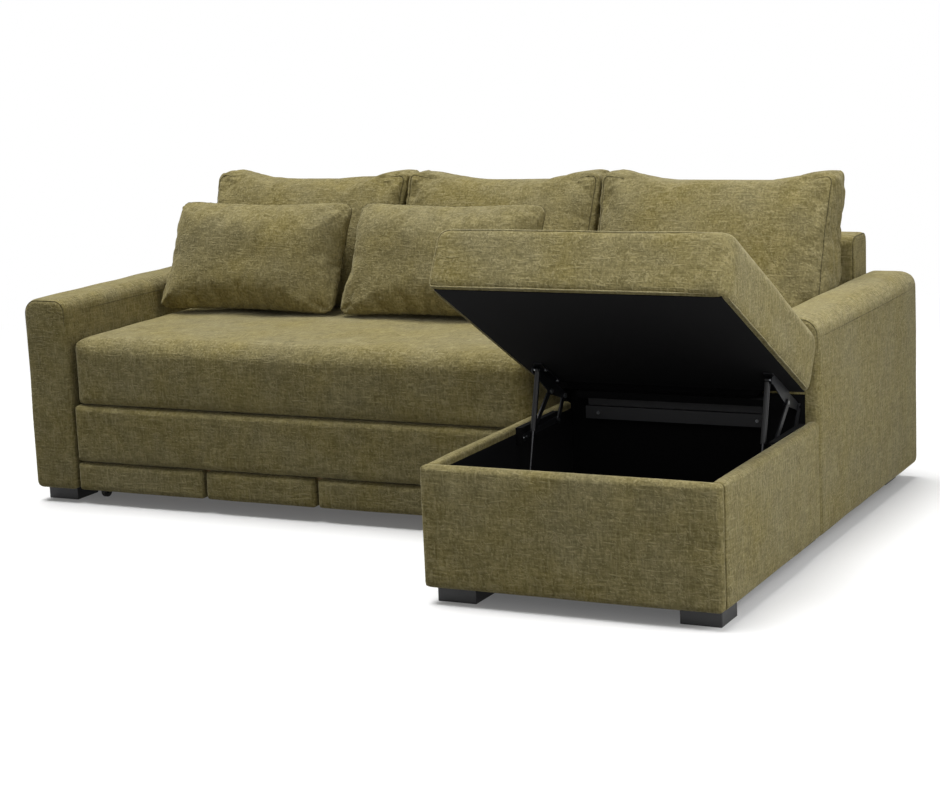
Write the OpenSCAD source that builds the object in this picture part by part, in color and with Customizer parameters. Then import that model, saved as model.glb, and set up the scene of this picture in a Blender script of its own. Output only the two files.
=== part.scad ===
// Corner storage sofa bed: long seat with a pull-out bed, chaise with a storage box under a lift-up lid.
// X runs along the sofa, Y towards its back, Z up. The origin is the floor point under the middle of the
// bounding box. The lid is drawn open. Lengths are in millimetres and angles in degrees.

/* [Overall] */
// Width over both arms
body_w = 2400; // [2200:10:2700]
// Depth of the long side, from its front face to the back
body_d = 1030; // [960:5:1100]
// How far the chaise stands out in front of the long side
chaise_out = 640; // [560:5:760]
// Width of the chaise
chaise_w = 759; // [700:1:860]
// Height of the feet, which is the gap under the upholstery
foot_h = 41; // [30:1:70]
// Height of the seat's top face above the floor
seat_h = 497; // [460:1:520]

/* [Arms and back] */
// Width of each arm
arm_w = 147; // [110:1:190]
// Height of the arms above the floor
arm_h = 610; // [570:5:660]
// How far the right arm's front stands back from the long side's front
right_arm_set = 100; // [94:1:140]
// Radius of the arms' long top edges
arm_r = 30; // [15:1:45]
// Radius of the arms' upright edges
arm_edge_r = 12; // [8:1:32]
// Radius of the arms' lower edges
arm_low_r = 16; // [8:1:22]
// Thickness of the back frame
back_t = 134; // [110:1:160]
// Height of the back frame above the floor
back_h = 719; // [690:1:760]

/* [Cushions] */
// Height of the long seat's base above the feet
seat_base_h = 258; // [252:1:280]
// Radius of the seat cushions' top edges
seat_edge_r = 45; // [25:1:55]
// Rise of the seats' crown in the middle
seat_crown = 12; // [0:1:20]
// Height of the back cushions along their slope
back_cushion_h = 420; // [380:1:450]
// Thickness of the back cushions at their foot
back_cushion_t = 218; // [190:1:222]
// Width of the left back cushion, as a share of the space between the arms
back_cushion_left_share = 0.322; // [0.285:0.001:0.325]
// Width of the middle back cushion, as a share of the space between the arms
back_cushion_middle_share = 0.301; // [0.275:0.001:0.308]
// Width of the right back cushion, as a share of the space between the arms
back_cushion_right_share = 0.336; // [0.295:0.001:0.341]
// Width of a scatter cushion, as a share of the space between the arms
scatter_share = 0.297; // [0.247:0.001:0.3]
// Height of a scatter cushion
scatter_h = 352; // [320:1:390]
// Thickness of a scatter cushion in its middle
scatter_t = 140; // [110:1:146]

/* [Storage box and lid] */
// Height of the box's rim above the floor
rim_h = 345; // [325:1:352]
// Thickness of the box's padded walls
wall_t = 30; // [24:1:36]
// Length of the lid
lid_l = 700; // [620:1:706]
// Radius of the lid's edges
lid_edge_r = 24; // [16:1:45]
// Radius of the lid's rear top edge, which swings close to the arm
lid_rear_r = 88; // [80:1:95]
// Angle that the open lid stands at
lid_open = 29; // [24:1:31]
// Thickness of the lid's board
lid_board_t = 12; // [9:1:18]
// Thickness of the box's floor and rear panels
panel_t = 12; // [8:1:16]

/* [Lift mechanism] */
// Length of the front link between its pivots
front_link_l = 144; // [130:1:150]
// Length of the rear link between its pivots
rear_link_l = 68; // [64:1:72]
// Thickness of the battens that carry the lift
batten_t = 16; // [12:1:20]
// Thickness of the steel plates
plate_t = 3; // [2:0.5:3.5]
// Thickness of the links
link_t = 4; // [3:0.5:4.5]
// Radius of the pivot pins
pin_r = 5; // [4:0.1:6]
// Radial clearance of the pins in their bores
pin_clear = 0.05; // [0.03:0.01:0.1]
// Outer diameter of the strut's tube
strut_d = 15; // [12:0.5:16]
// Diameter of the strut's rod
rod_d = 7; // [5:0.5:8]

/* [Pull-out bed] */
// Height of the plinth below the front panel
plinth_h = 84; // [70:1:95]
// Thickness of the padded front panel
front_panel_t = 38; // [28:1:44]
// Width of the plinth's first piece, as a share of the bed's front
plinth_first_share = 0.298; // [0.255:0.001:0.322]
// Width of the plinth's second and third pieces, as a share of the bed's front
plinth_mid_share = 0.249; // [0.215:0.001:0.268]
// Thickness of the bed's mattress
mattress_t = 126; // [90:1:130]
// Height of the bed's side rails
bed_rail_h = 70; // [50:1:74]
// Radius of the floor rollers
roller_r = 20; // [16:1:23]
// Number of slats under the mattress
bed_slats = 10; // [6:1:14]
// Number of slats under the long seat
seat_slats = 14; // [8:1:18]

/* [Hidden] */
$fn = 48;

// Overrun of every cut
over = 1;
// Gap at which soft and wooden pieces lie beside what they rest on
seat_gap = 0.3;
// Gap of the upholstered faces that pass each other
side_gap = 3;

// Fixed places of the body
x_left = -body_w / 2;
x_right = body_w / 2;
y_back = (body_d + chaise_out) / 2;
y_main = y_back - body_d;
y_chaise = y_main - chaise_out;
y_back_face = y_back - back_t;
x_bay = x_left + arm_w;
x_chaise = x_right - chaise_w;
x_arm = x_right - arm_w;
y_arm = y_main + right_arm_set;
bay_w = x_chaise - x_bay;
inner_w = x_arm - x_bay;
front_w = bay_w - side_gap * 2;
back_cushion_left_w = inner_w * back_cushion_left_share;
back_cushion_middle_w = inner_w * back_cushion_middle_share;
back_cushion_right_w = inner_w * back_cushion_right_share;
scatter_w = inner_w * scatter_share;
plinth_first_w = front_w * plinth_first_share;
plinth_mid_w = front_w * plinth_mid_share;

// Lid and box
rim_gap = 1;
corner_gap = 26;
corner_up = 34;
z_lid = rim_h + rim_gap;
lid_t = seat_h + seat_crown - z_lid;
y_lid = y_chaise + lid_l;
y_corner = y_lid + corner_gap;
board_inset = 16;
lid_low_r = 14;
lid_plan_r = 16;
rim_outer_r = 14;
rim_inner_r = 9;
box_corner_r = 12;
deck_t = 18;
deck_set = 3;
z_deck = rim_h + corner_up;
box_rear = 95;
y_box_rear = y_arm + box_rear;
z_floor = foot_h;
rail_d = 45;
rail_h = 34;
rail_board_d = 25;
rail_inset = 92;
rail_screw_set = 37;
pocket_gap = 7;

// Lift mechanism: closed places of the lid's pivots and of the swing's centre, from the lid's lower rear edge
centre_back = 145.1;
centre_up = 74.2;
front_pivot_front = 22.5;
front_pivot_drop = 31;
rear_pivot_back = 66.6;
rear_pivot_drop = 13.5;
strut_pivot_front = 150.5;
strut_pivot_drop = 15.6;
strut_foot_front = 245;
strut_foot_drop = 181;
swing_y = y_lid + centre_back;
swing_z = z_lid + centre_up;
front_closed = [y_lid - front_pivot_front, z_lid - front_pivot_drop];
rear_closed = [y_lid + rear_pivot_back, z_lid - rear_pivot_drop];
strut_closed = [y_lid - strut_pivot_front, z_lid - strut_pivot_drop];
strut_foot = [y_lid - strut_foot_front, z_lid - strut_foot_drop];
layer_gap = 1;
lug_r = 10;
link_r = 10;
waist_share = 0.8;
rivet_r = 7;
rivet_h = 3;
screw_r = 4.5;
screw_h = 2.5;
flange_w = 25;
stud_r = 4;
eye_t = 10;
eye_r = 8;
strut_wall = 1.5;
cap_from = 5;
cap_l = 4;
tube_end = 158;
guide_l = 3;
piston_l = 4;
piston_from = 151;
neck_l = 6;
neck_r = 4.4;
neck_in = 2;
batten_up = 22;
batten_down = 22;
batten_front = 56;
batten_back = 14;
foot_block = 18;
play = 0.3;

// Pull-out bed
seam_gap = 2.5;
panel_top_gap = 2;
z_panel = foot_h + plinth_h + seam_gap;
z_seat = foot_h + seat_base_h;
seat_slat_t = 8;
seat_slat_w = 53;
seat_rail_h = 16;
seat_rail_w = 40;
z_slat = z_seat - seat_slat_t;
z_rail = z_slat - seat_rail_h;
board_t = 18;
bed_rail_t = 25;
bed_back_gap = 36;
y_bed = y_main + front_panel_t;
y_bed_back = y_back_face - bed_back_gap;
rail_stand_off = 18;
x_bed = x_bay + rail_stand_off;
x_bed_end = x_chaise - rail_stand_off;
bed_rail_up = 19;
z_bed_rail = foot_h + bed_rail_up;
bed_slat_t = 12;
bed_slat_w = 60;
z_bed_slat = z_bed_rail + bed_rail_h;
z_mattress = z_bed_slat + bed_slat_t;
mattress_inset = 3;
mattress_r = 18;
guide_h = 30;
guide_d = 14;
guide_wall = 2.5;
guide_up = 25;
guide_set = 60;
glide_l = 60;
glide_clear = 0.5;
fork_plate_t = 3;
fork_gap = 1;
roller_w = 18;
axle_r = 4;
axle_clear = 0.1;
floor_gap = 0.5;
fork_w = 30;
axle_low = 8;
roller_front_set = 70;
roller_rear_set = 60;
hub_r = 9;
tyre_r = 3;

// Feet
foot_w = 104;
foot_r = 3;
foot_rear_set = 38;
box_foot_side_set = 14;
box_foot_front_set = 38;
left_foot_side_set = 12;
left_foot_front_set = 46;
right_foot_side_set = 55;
right_foot_front_set = 22;

// Softness of the upholstered shells
panel_r = 11;
plinth_r = 10;
back_r = 30;

// Cushion forms
arc_n = 3;
side_n = 6;
cushion_plan_r = 40;
cushion_low_r = 16;
cushion_pull = 5;
back_slope_share = 0.1625;
back_taper_share = 0.47;
back_edge_r = 34;
back_crown = 45;
back_rear_crown = 60;
back_pull = 9;
scatter_lean = 16;
scatter_back = 391;
scatter_ear_r = 26;
scatter_pull = 16;
scatter_left_from = 4;
scatter_apart = 12;
scatter_right_from = scatter_left_from + scatter_w + scatter_apart;
scatter_rear_share = 0.5;
seat_power = 4;
back_power = 2;
pillow_power = 2.4;
pillow_round = 0.62;
pillow_rim = 5;
inset_shares = [0.1, 0.24, 0.45, 0.72];
top_shares = [0.3, 0.66];

olive = "#746c47";
lining = "#121213";
steel = "#3a3b3d";
bright = "#a7a9ab";
timber = "#c2a173";
foam_cover = "#4a4a4b";
plastic = "#1b1b1c";

// Pivot geometry of the four-bar lift, as points in the Y-Z plane
function turn(p, a) = [p.x * cos(a) - p.y * sin(a), p.x * sin(a) + p.y * cos(a)];
function opened(p) = [swing_y, swing_z] + turn(p - [swing_y, swing_z], -lid_open);
// The fixed pivot lies on the perpendicular bisector of the moving pivot's open and closed places
function fixed_pivot(p, length) =
    let (q = opened(p), m = (p + q) / 2, d = p - q, half = norm(d) / 2)
    m + [d.y, -d.x] / norm(d) * sqrt(length * length - half * half);
function heading(v) = atan2(v.y, v.x);
front_fixed = fixed_pivot(front_closed, front_link_l);
rear_fixed = fixed_pivot(rear_closed, rear_link_l);

// X layers of the lift, measured inwards from the box's side wall
plate_x = batten_t;
link_x = plate_x + plate_t + layer_gap;
hanger_x = link_x + link_t + layer_gap;
eye_x = hanger_x + plate_t + rivet_h * 2;
x_wall_left = x_chaise + wall_t;
x_wall_right = x_right - wall_t;
strut_l = norm(opened(strut_closed) - strut_foot);

// Rectangle with a radius of its own at each corner: lower left, lower right, upper right, upper left
module soft_rect(w, h, radii) {
    corners = [[0, 0, 0], [w, 0, 90], [w, h, 180], [0, h, 270]];
    difference() {
        square([w, h]);
        for (i = [0:3])
            if (radii[i] > 0)
                translate([corners[i].x, corners[i].y]) rotate(corners[i].z)
                    difference() {
                        translate([-over, -over]) square([radii[i] + over, radii[i] + over]);
                        translate([radii[i], radii[i]]) circle(radii[i]);
                    }
    }
}

// Block with rounded edges: the common part of three extruded rectangles.
// front is seen along Y, plan along Z and side along X
module soft_block(size, front, plan, side) {
    intersection() {
        translate([0, size.y, 0]) rotate([90, 0, 0]) linear_extrude(size.y) soft_rect(size.x, size.z, front);
        linear_extrude(size.z) soft_rect(size.x, size.y, plan);
        rotate([90, 0, 90]) linear_extrude(size.x) soft_rect(size.y, size.z, side);
    }
}

module block(low, high) {
    translate(low) cube(high - low);
}

// Flat shape drawn in the Y-Z plane, standing between two X places
module plate_at(x0, x1) {
    translate([x0, 0, 0]) rotate([90, 0, 90]) linear_extrude(x1 - x0) children();
}

// Straight bar between two points of the plane, a little narrower than its round ends
module bar(a, b, r) {
    w = r * waist_share;
    translate(a) circle(r);
    translate(b) circle(r);
    translate(a) rotate(heading(b - a)) translate([0, -w]) square([norm(b - a), w * 2]);
}

// Pin along X
module pin_at(p, r, x0, x1) {
    translate([x0, p.x, p.y]) rotate([0, 90, 0]) cylinder(r = r, h = x1 - x0);
}

// Both sides of the lift: the left side as drawn from its wall, the right side mirrored from its own
module both_sides() {
    translate([x_wall_left, 0, 0]) children();
    translate([x_wall_right, 0, 0]) mirror([1, 0, 0]) children();
}

// Turns what is drawn in the closed place into the open place
module lid_place() {
    translate([0, swing_y, swing_z]) rotate([-lid_open, 0, 0]) translate([0, -swing_y, -swing_z]) children();
}

// One ring of a cushion: a rounded rectangle whose sides are drawn in between the corners
function corner_arc(cx, cy, r, a0) =
    [for (i = [0:arc_n]) [cx + r * cos(a0 + 90 * i / arc_n), cy + r * sin(a0 + 90 * i / arc_n)]];
function side_run(a, b, inward) =
    [for (i = [1:side_n - 1]) a + (b - a) * i / side_n + inward * sin(180 * i / side_n)];
function ring(w, l, r, pull, foot_pull) =
    let (x = w / 2, y = l / 2, cx = x - r, cy = y - r)
    concat(
        corner_arc(cx, cy, r, 0), side_run([cx, y], [-cx, y], [0, -pull]),
        corner_arc(-cx, cy, r, 90), side_run([-x, cy], [-x, -cy], [pull, 0]),
        corner_arc(-cx, -cy, r, 180), side_run([-cx, -y], [cx, -y], [0, foot_pull]),
        corner_arc(cx, -cy, r, 270), side_run([x, -cy], [x, cy], [-pull, 0]));
// Bulge that is full in the middle of a face and nothing at its edges
function bulge(x, y, w, l, power) =
    max(0, 1 - pow(abs(2 * x / w), power)) * max(0, 1 - pow(abs(2 * y / l), power));

// Closed solid through a stack of rings, with a middle point at each end
module ring_solid(rings, low, high) {
    n = len(rings[0]);
    m = len(rings);
    points = concat([low], [for (k = [0:m - 1]) each rings[k]], [high]);
    last = len(points) - 1;
    polyhedron(points, concat(
        [for (i = [0:n - 1]) [0, 1 + (i + 1) % n, 1 + i]],
        [for (k = [0:m - 2], i = [0:n - 1])
            each let (a = 1 + k * n + i, b = 1 + k * n + (i + 1) % n)
                [[a, b, b + n], [a, b + n, a + n]]],
        [for (i = [0:n - 1]) [last, last - n + i, last - n + (i + 1) % n]]));
}

// Boxed cushion with rounded edges and a crowned face. radii is [plan, lower edge, upper edges], crowns is
// [upper face, lower face, power], pulls is [sides, side at -Y]. taper thins it towards +Y, and slope leans it
module boxed_cushion(w, l, t, radii, crowns, pulls, taper, slope) {
    low_arc = [for (i = [0:arc_n]) let (a = 90 * i / arc_n)
        [radii[1] * (1 - sin(a)), radii[1] * (1 - cos(a))]];
    top_arc = [for (i = [0:arc_n]) let (a = 90 * i / arc_n)
        [radii[2] * (1 - cos(a)), t - radii[2] + radii[2] * sin(a)]];
    reach = min(w, l) / 2;
    top = [for (s = top_shares) [radii[2] + (reach - radii[2]) * s, t]];
    under = crowns[1] > 0
        ? [for (i = [len(top_shares) - 1:-1:0]) [radii[1] + (reach - radii[1]) * top_shares[i], 0]] : [];
    profile = concat(under, low_arc, top_arc, top);
    function place(q, z) =
        let (up = z * (1 - taper * (q.y / l + 0.5)), full = bulge(q.x, q.y, w, l, crowns[2]))
        [q.x, q.y, up + full * (z > t / 2 ? crowns[0] : -crowns[1]) - slope * (q.y + l / 2)];
    rings = [for (p = profile)
        let (side = 1 - min(1, p.x / radii[2]))
        [for (q = ring(w - p.x * 2, l - p.x * 2, max(radii[0] - p.x, radii[0] / 4), pulls[0] * side, pulls[1] * side))
            place(q, p.y)]];
    ring_solid(rings, place([0, 0], 0), place([0, 0], t));
}

// Knife-edged pillow: both faces swell from one seam, the rear one less where it leans,
// and the corners stand out as ears
module pillow(w, l, t, r, pull, rear_share) {
    front_t = t / (1 + rear_share);
    rear_t = front_t * rear_share;
    function height(x, y) = pow(bulge(x, y, w, l, pillow_power), pillow_round);
    function layer(s, sign, swell) =
        let (inset = s * l / 2)
        [for (q = ring(w - inset * 2, l - inset * 2, max(r - inset / 2, r / 4), pull * (1 - s), pull * (1 - s)))
            [q.x, q.y, sign * (pillow_rim / 2 + (swell - pillow_rim / 2) * height(q.x, q.y))]];
    lower = [for (i = [len(inset_shares) - 1:-1:0]) layer(inset_shares[i], -1, rear_t)];
    upper = [for (s = inset_shares) layer(s, 1, front_t)];
    ring_solid(concat(lower, [layer(0, -1, rear_t)], [layer(0, 1, front_t)], upper),
        [0, 0, -rear_t], [0, 0, front_t]);
}

module arm(size) {
    soft_block(size, [arm_low_r, arm_low_r, arm_r, arm_r],
        [arm_edge_r, arm_edge_r, arm_edge_r, arm_edge_r], [arm_low_r, arm_low_r, arm_r, arm_r]);
}

module left_arm() {
    color(olive) translate([x_left, y_main, foot_h]) arm([arm_w, body_d, arm_h - foot_h]);
}

// The right arm is hollow at its front foot, where the storage box reaches under it,
// and has a slot above that for the rear link
module right_arm() {
    slot_w = hanger_x + plate_t + rivet_h + pocket_gap;
    slot_back = rear_closed.x + lug_r + pocket_gap;
    slot_top = opened(rear_closed).y + lug_r + pocket_gap;
    color(olive) difference() {
        translate([x_arm, y_arm, foot_h]) arm([arm_w, y_back - y_arm, arm_h - foot_h]);
        block([x_arm - over, y_arm - over, foot_h - over],
            [x_wall_right, y_box_rear + panel_t, rim_h + pocket_gap]);
        block([x_wall_right - slot_w, y_arm - over, rim_h], [x_wall_right, slot_back, slot_top]);
    }
}

module back_frame() {
    color(olive) translate([x_bay, y_back_face, foot_h])
        soft_block([x_arm - x_bay, back_t, back_h - foot_h],
            [arm_low_r, arm_low_r, back_r, back_r], [0, 0, arm_low_r, arm_low_r],
            [arm_low_r, arm_low_r, back_r, back_r]);
}

module seat_cushion() {
    w = bay_w - side_gap * 2;
    l = y_back_face - seat_gap - y_main;
    color(olive) translate([x_bay + side_gap + w / 2, y_main + l / 2, z_seat + seat_gap])
        boxed_cushion(w, l, seat_h - z_seat - seat_gap, [cushion_plan_r, cushion_low_r, seat_edge_r],
            [seat_crown, 0, seat_power], [cushion_pull, cushion_pull], 0, 0);
}

module corner_seat_cushion() {
    w = x_arm - x_chaise - side_gap * 2;
    l = y_back_face - seat_gap - y_corner;
    z0 = z_deck + deck_t + seat_gap;
    color(olive) translate([x_chaise + side_gap + w / 2, y_corner + l / 2, z0])
        boxed_cushion(w, l, seat_h - z0, [cushion_plan_r, cushion_low_r, seat_edge_r],
            [seat_crown, 0, seat_power], [cushion_pull, cushion_pull], 0, 0);
}

// A back cushion stands on the seat and leans on the top of the back frame. x is its middle
cushion_foot = seat_h + seat_crown + seat_gap;
module back_cushion(x, w) {
    touch = back_h - back_r - cushion_foot;
    lean = back_slope_share * touch
        + back_rear_crown * bulge(0, touch - back_cushion_h / 2, w, back_cushion_h, back_power);
    color(olive) translate([x, y_back_face - seat_gap - lean, cushion_foot]) rotate([90, 0, 0])
        translate([0, back_cushion_h / 2, 0])
            boxed_cushion(w, back_cushion_h, back_cushion_t, [back_edge_r, back_edge_r, back_edge_r],
                [back_crown, back_rear_crown, back_power], [back_pull, 0], back_taper_share, back_slope_share);
}
x_cushion_right = x_arm - side_gap * 3 - back_cushion_right_w / 2;
x_cushion_middle = x_cushion_right - back_cushion_right_w / 2 - side_gap - back_cushion_middle_w / 2;
x_cushion_left = x_cushion_middle - back_cushion_middle_w / 2 - side_gap - back_cushion_left_w / 2;

module back_cushion_left() {
    back_cushion(x_cushion_left, back_cushion_left_w);
}

module back_cushion_middle() {
    back_cushion(x_cushion_middle, back_cushion_middle_w);
}

module back_cushion_right() {
    back_cushion(x_cushion_right, back_cushion_right_w);
}

module scatter_cushion(from) {
    color(olive) translate([x_bay + from + scatter_w / 2, y_back_face - scatter_back,
            cushion_foot + pillow_rim / 2 * sin(scatter_lean)])
        rotate([90 - scatter_lean, 0, 0]) translate([0, scatter_h / 2, 0])
            pillow(scatter_w, scatter_h, scatter_t, scatter_ear_r, scatter_pull, scatter_rear_share);
}

module scatter_cushion_left() {
    scatter_cushion(scatter_left_from);
}

module scatter_cushion_right() {
    scatter_cushion(scatter_right_from);
}

module seat_front_rail() {
    y0 = y_bed + board_t;
    color(steel) block([x_bay + seat_rail_w, y0, z_rail], [x_chaise - seat_rail_w, y0 + seat_rail_w, z_slat]);
}

module seat_rear_rail() {
    color(steel) block([x_bay + seat_rail_w, y_back_face - seat_rail_w, z_rail],
        [x_chaise - seat_rail_w, y_back_face, z_slat]);
}

module seat_side_rails() {
    y0 = y_bed + board_t;
    color(steel) {
        block([x_bay, y0, z_rail], [x_bay + seat_rail_w, y_back_face, z_slat]);
        block([x_chaise - seat_rail_w, y0, z_rail], [x_chaise, y_back_face, z_slat]);
    }
}

// Sprung slats from the front rail to the rear rail
module seat_slat_set() {
    y0 = y_bed + board_t;
    x0 = x_bay + seat_rail_w;
    pitch = (bay_w - seat_rail_w * 2 - seat_slat_w) / (seat_slats - 1);
    color(timber) for (i = [0:seat_slats - 1])
        block([x0 + i * pitch, y0, z_slat], [x0 + i * pitch + seat_slat_w, y_back_face, z_seat]);
}

// Board under the corner seat, cut back at its front left where the lift's plate swings
module corner_deck() {
    y0 = y_corner + deck_set;
    color(lining) translate([0, 0, z_deck]) linear_extrude(deck_t)
        polygon([[x_chaise, y_box_rear], [x_chaise + rail_inset, y_box_rear],
            [x_chaise + rail_inset, y0], [x_arm, y0],
            [x_arm, y_back_face], [x_chaise, y_back_face]]);
}

// Dark rail across the back of the storage box, with a board on it that carries the corner seat
module corner_front_rail() {
    color(lining) translate([x_chaise + rail_inset, 0, 0]) plate_at(0, x_arm - x_chaise - rail_inset)
        polygon([[y_box_rear - rail_d, rim_h - rail_h], [y_box_rear, rim_h - rail_h],
            [y_box_rear, z_deck], [y_box_rear - rail_board_d, z_deck],
            [y_box_rear - rail_board_d, rim_h], [y_box_rear - rail_d, rim_h]]);
}

module rail_screws() {
    color(bright) for (x = [x_chaise + rail_inset + rail_screw_set, x_arm - rail_screw_set])
        translate([x, y_box_rear - rail_d, rim_h - rail_h / 2]) rotate([90, 0, 0])
            cylinder(r = screw_r, h = screw_h);
}

module corner_side_panel() {
    color(timber) block([x_chaise, y_box_rear + panel_t, z_floor], [x_chaise + board_t, y_back_face, z_deck]);
}

module box_front() {
    color(olive) translate([x_chaise, y_chaise, foot_h])
        soft_block([chaise_w, wall_t, rim_h - foot_h],
            [arm_low_r, arm_low_r, rim_outer_r, rim_outer_r], [box_corner_r, box_corner_r, 0, 0],
            [arm_low_r, 0, rim_inner_r, rim_outer_r]);
}

// A side wall is seen in section along Y: the outer edges are rounder than the inner ones
module box_left_side() {
    l = y_box_rear - y_chaise - wall_t;
    color(olive) translate([x_chaise, y_chaise + wall_t, foot_h])
        soft_block([wall_t, l, rim_h - foot_h],
            [arm_low_r, 0, rim_inner_r, rim_outer_r], [0, 0, 0, 0], [0, 0, 0, 0]);
}

module box_right_side() {
    l = y_arm - seam_gap - y_chaise - wall_t;
    color(olive) translate([x_wall_right, y_chaise + wall_t, foot_h])
        soft_block([wall_t, l, rim_h - foot_h],
            [0, arm_low_r, rim_outer_r, rim_inner_r], [0, 0, arm_low_r / 2, 0], [0, 0, 0, 0]);
}

module box_floor() {
    color(lining) block([x_wall_left, y_chaise + wall_t, z_floor], [x_wall_right, y_box_rear, z_floor + panel_t]);
}

module box_rear_panel() {
    color(lining) {
        block([x_wall_left, y_box_rear, z_floor], [x_wall_right, y_box_rear + panel_t, rim_h + pocket_gap]);
        block([x_wall_left, y_box_rear, z_floor], [x_arm, y_box_rear + panel_t, z_deck]);
    }
}

// Square blocks under the arms, the box, the corner and the back
module feet() {
    x_left_foot = x_left + left_foot_side_set;
    x_box_foot = x_chaise + box_foot_side_set;
    x_box_far = x_right - box_foot_side_set - foot_w;
    x_right_foot = x_right - right_foot_side_set - foot_w;
    y_box_foot = y_chaise + box_foot_front_set;
    y_rear = y_back - foot_rear_set - foot_w;
    places = [[x_left_foot, y_main + left_foot_front_set], [x_left_foot, y_rear],
        [x_box_foot, y_box_foot], [x_box_far, y_box_foot],
        [x_box_foot, y_arm - foot_w / 2], [x_right_foot, y_arm + right_foot_front_set],
        [x_right_foot, y_rear], [x_box_foot, y_rear], [(x_bay + x_chaise - foot_w) / 2, y_rear]];
    color(plastic) for (p = places)
        translate([p.x, p.y, 0]) soft_block([foot_w, foot_w, foot_h],
            [foot_r, foot_r, 0, 0], [foot_r, foot_r, foot_r, foot_r], [foot_r, foot_r, 0, 0]);
}

// Battens on the box's side walls that carry the lift, and a block at the strut's foot
module lift_battens() {
    color(lining) both_sides() plate_at(0, batten_t) {
        y0 = front_fixed.x - batten_front;
        y1 = rear_fixed.x + batten_back;
        z0 = front_fixed.y - batten_down;
        translate([y0, z0]) square([y1 - y0, batten_up + batten_down]);
        translate(strut_foot - [foot_block, foot_block]) square([foot_block * 2, foot_block * 2]);
    }
}

// Steel plate on the batten that carries both fixed pivots
base_front = front_fixed - [lug_r * 4, lug_r / 2];
module lift_base_plates() {
    color(steel) both_sides() plate_at(plate_x, plate_x + plate_t) {
        bar(front_fixed, rear_fixed, lug_r);
        bar(base_front, front_fixed, lug_r);
    }
}

module lift_base_pins() {
    color(bright) both_sides() for (p = [front_fixed, rear_fixed])
        pin_at(p, pin_r, plate_x + plate_t, link_x + link_t + layer_gap / 2);
}

// Foot of the strut: a small plate with a stud that ends just short of the rod's eye
module strut_brackets() {
    color(steel) both_sides() {
        plate_at(plate_x, plate_x + plate_t) translate(strut_foot) circle(foot_block - layer_gap);
        pin_at(strut_foot, stud_r, plate_x + plate_t, eye_x - play);
    }
}

module base_screws() {
    side = [screw_r * 2, 0];
    color(bright) both_sides() for (p = [base_front - side, base_front + side,
            strut_foot - side * 1.2, strut_foot + side * 1.2])
        pin_at(p, screw_r / 1.5, plate_x + plate_t, plate_x + plate_t + screw_h);
}

// Channels that guide the pull-out bed, on the arm and on the chaise
module bed_guide_rails() {
    z0 = z_bed_rail + guide_up;
    y0 = y_main + guide_set;
    y1 = y_bed_back;
    color(steel) {
        difference() {
            block([x_bay, y0, z0], [x_bay + guide_d, y1, z0 + guide_h]);
            block([x_bay + guide_wall, y0 - over, z0 + guide_wall],
                [x_bay + guide_d + over, y1 + over, z0 + guide_h - guide_wall]);
        }
        difference() {
            block([x_chaise - guide_d, y0, z0], [x_chaise, y1, z0 + guide_h]);
            block([x_chaise - guide_d - over, y0 - over, z0 + guide_wall],
                [x_chaise - guide_wall, y1 + over, z0 + guide_h - guide_wall]);
        }
    }
}

module lid_board_shape(t) {
    block([x_chaise + board_inset, y_chaise + board_inset, z_lid],
        [x_right - board_inset, y_lid - board_inset, z_lid + t]);
}

module lid_board() {
    color(lining) lid_place() lid_board_shape(lid_board_t);
}

// Padded lid: rounded on all edges, rounder at the rear top edge, with the board let in underneath
module lid_cushion() {
    size = [chaise_w, lid_l, lid_t];
    color(olive) lid_place() difference() {
        translate([x_chaise, y_chaise, z_lid]) soft_block(size,
            [lid_low_r, lid_low_r, lid_edge_r, lid_edge_r],
            [lid_plan_r, lid_plan_r, lid_plan_r, lid_plan_r],
            [lid_low_r, lid_low_r, lid_rear_r, lid_edge_r]);
        translate([0, 0, -over]) lid_board_shape(lid_board_t + over);
    }
}

// Steel hanger under the lid: a flange, and a plate that holds the three moving pivots
module lid_plates() {
    y0 = strut_closed.x - lug_r;
    y1 = y_lid - board_inset;
    z1 = z_lid - plate_t;
    color(steel) lid_place() both_sides() {
        plate_at(hanger_x, hanger_x + plate_t) {
            bar(strut_closed, front_closed, lug_r);
            bar(front_closed, rear_closed, lug_r);
            polygon([strut_closed, front_closed, rear_closed, [rear_closed.x, z1], [strut_closed.x, z1]]);
        }
        block([hanger_x, y0, z1], [hanger_x + flange_w, y1, z_lid]);
    }
}

// Pins of the hanger: one through the front link, a stub at the rear link, and the strut's stud
module lid_pins() {
    x1 = hanger_x + plate_t;
    color(bright) lid_place() both_sides() {
        pin_at(front_closed, pin_r, link_x - layer_gap / 2, hanger_x);
        pin_at(rear_closed, pin_r, link_x + link_t + play, hanger_x);
        for (p = [front_closed, rear_closed])
            pin_at(p, rivet_r, x1, x1 + rivet_h);
        pin_at(strut_closed, stud_r, x1, eye_x + eye_t + play);
    }
}

module lid_screws() {
    y0 = strut_closed.x;
    y1 = y_lid - board_inset - lug_r;
    x = hanger_x + flange_w - screw_r * 2;
    color(bright) lid_place() both_sides() for (y = [y0 + (y1 - y0) / 3, y1])
        translate([x, y, z_lid - plate_t - screw_h]) cylinder(r = screw_r, h = screw_h);
}

module link(a, b) {
    plate_at(link_x, link_x + link_t) difference() {
        bar(a, b, link_r);
        for (p = [a, b])
            translate(p) circle(pin_r + pin_clear);
    }
}

module front_links() {
    color(steel) both_sides() link(front_fixed, opened(front_closed));
}

module rear_links() {
    color(steel) both_sides() link(rear_fixed, opened(rear_closed));
}

// Strut in its own line: it starts at the lid's stud and runs down to the foot
module along_strut() {
    top = opened(strut_closed);
    both_sides() translate([eye_x + eye_t / 2, top.x, top.y]) rotate([heading(strut_foot - top), 0, 0])
        rotate([-90, 0, 0]) children();
}

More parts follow.
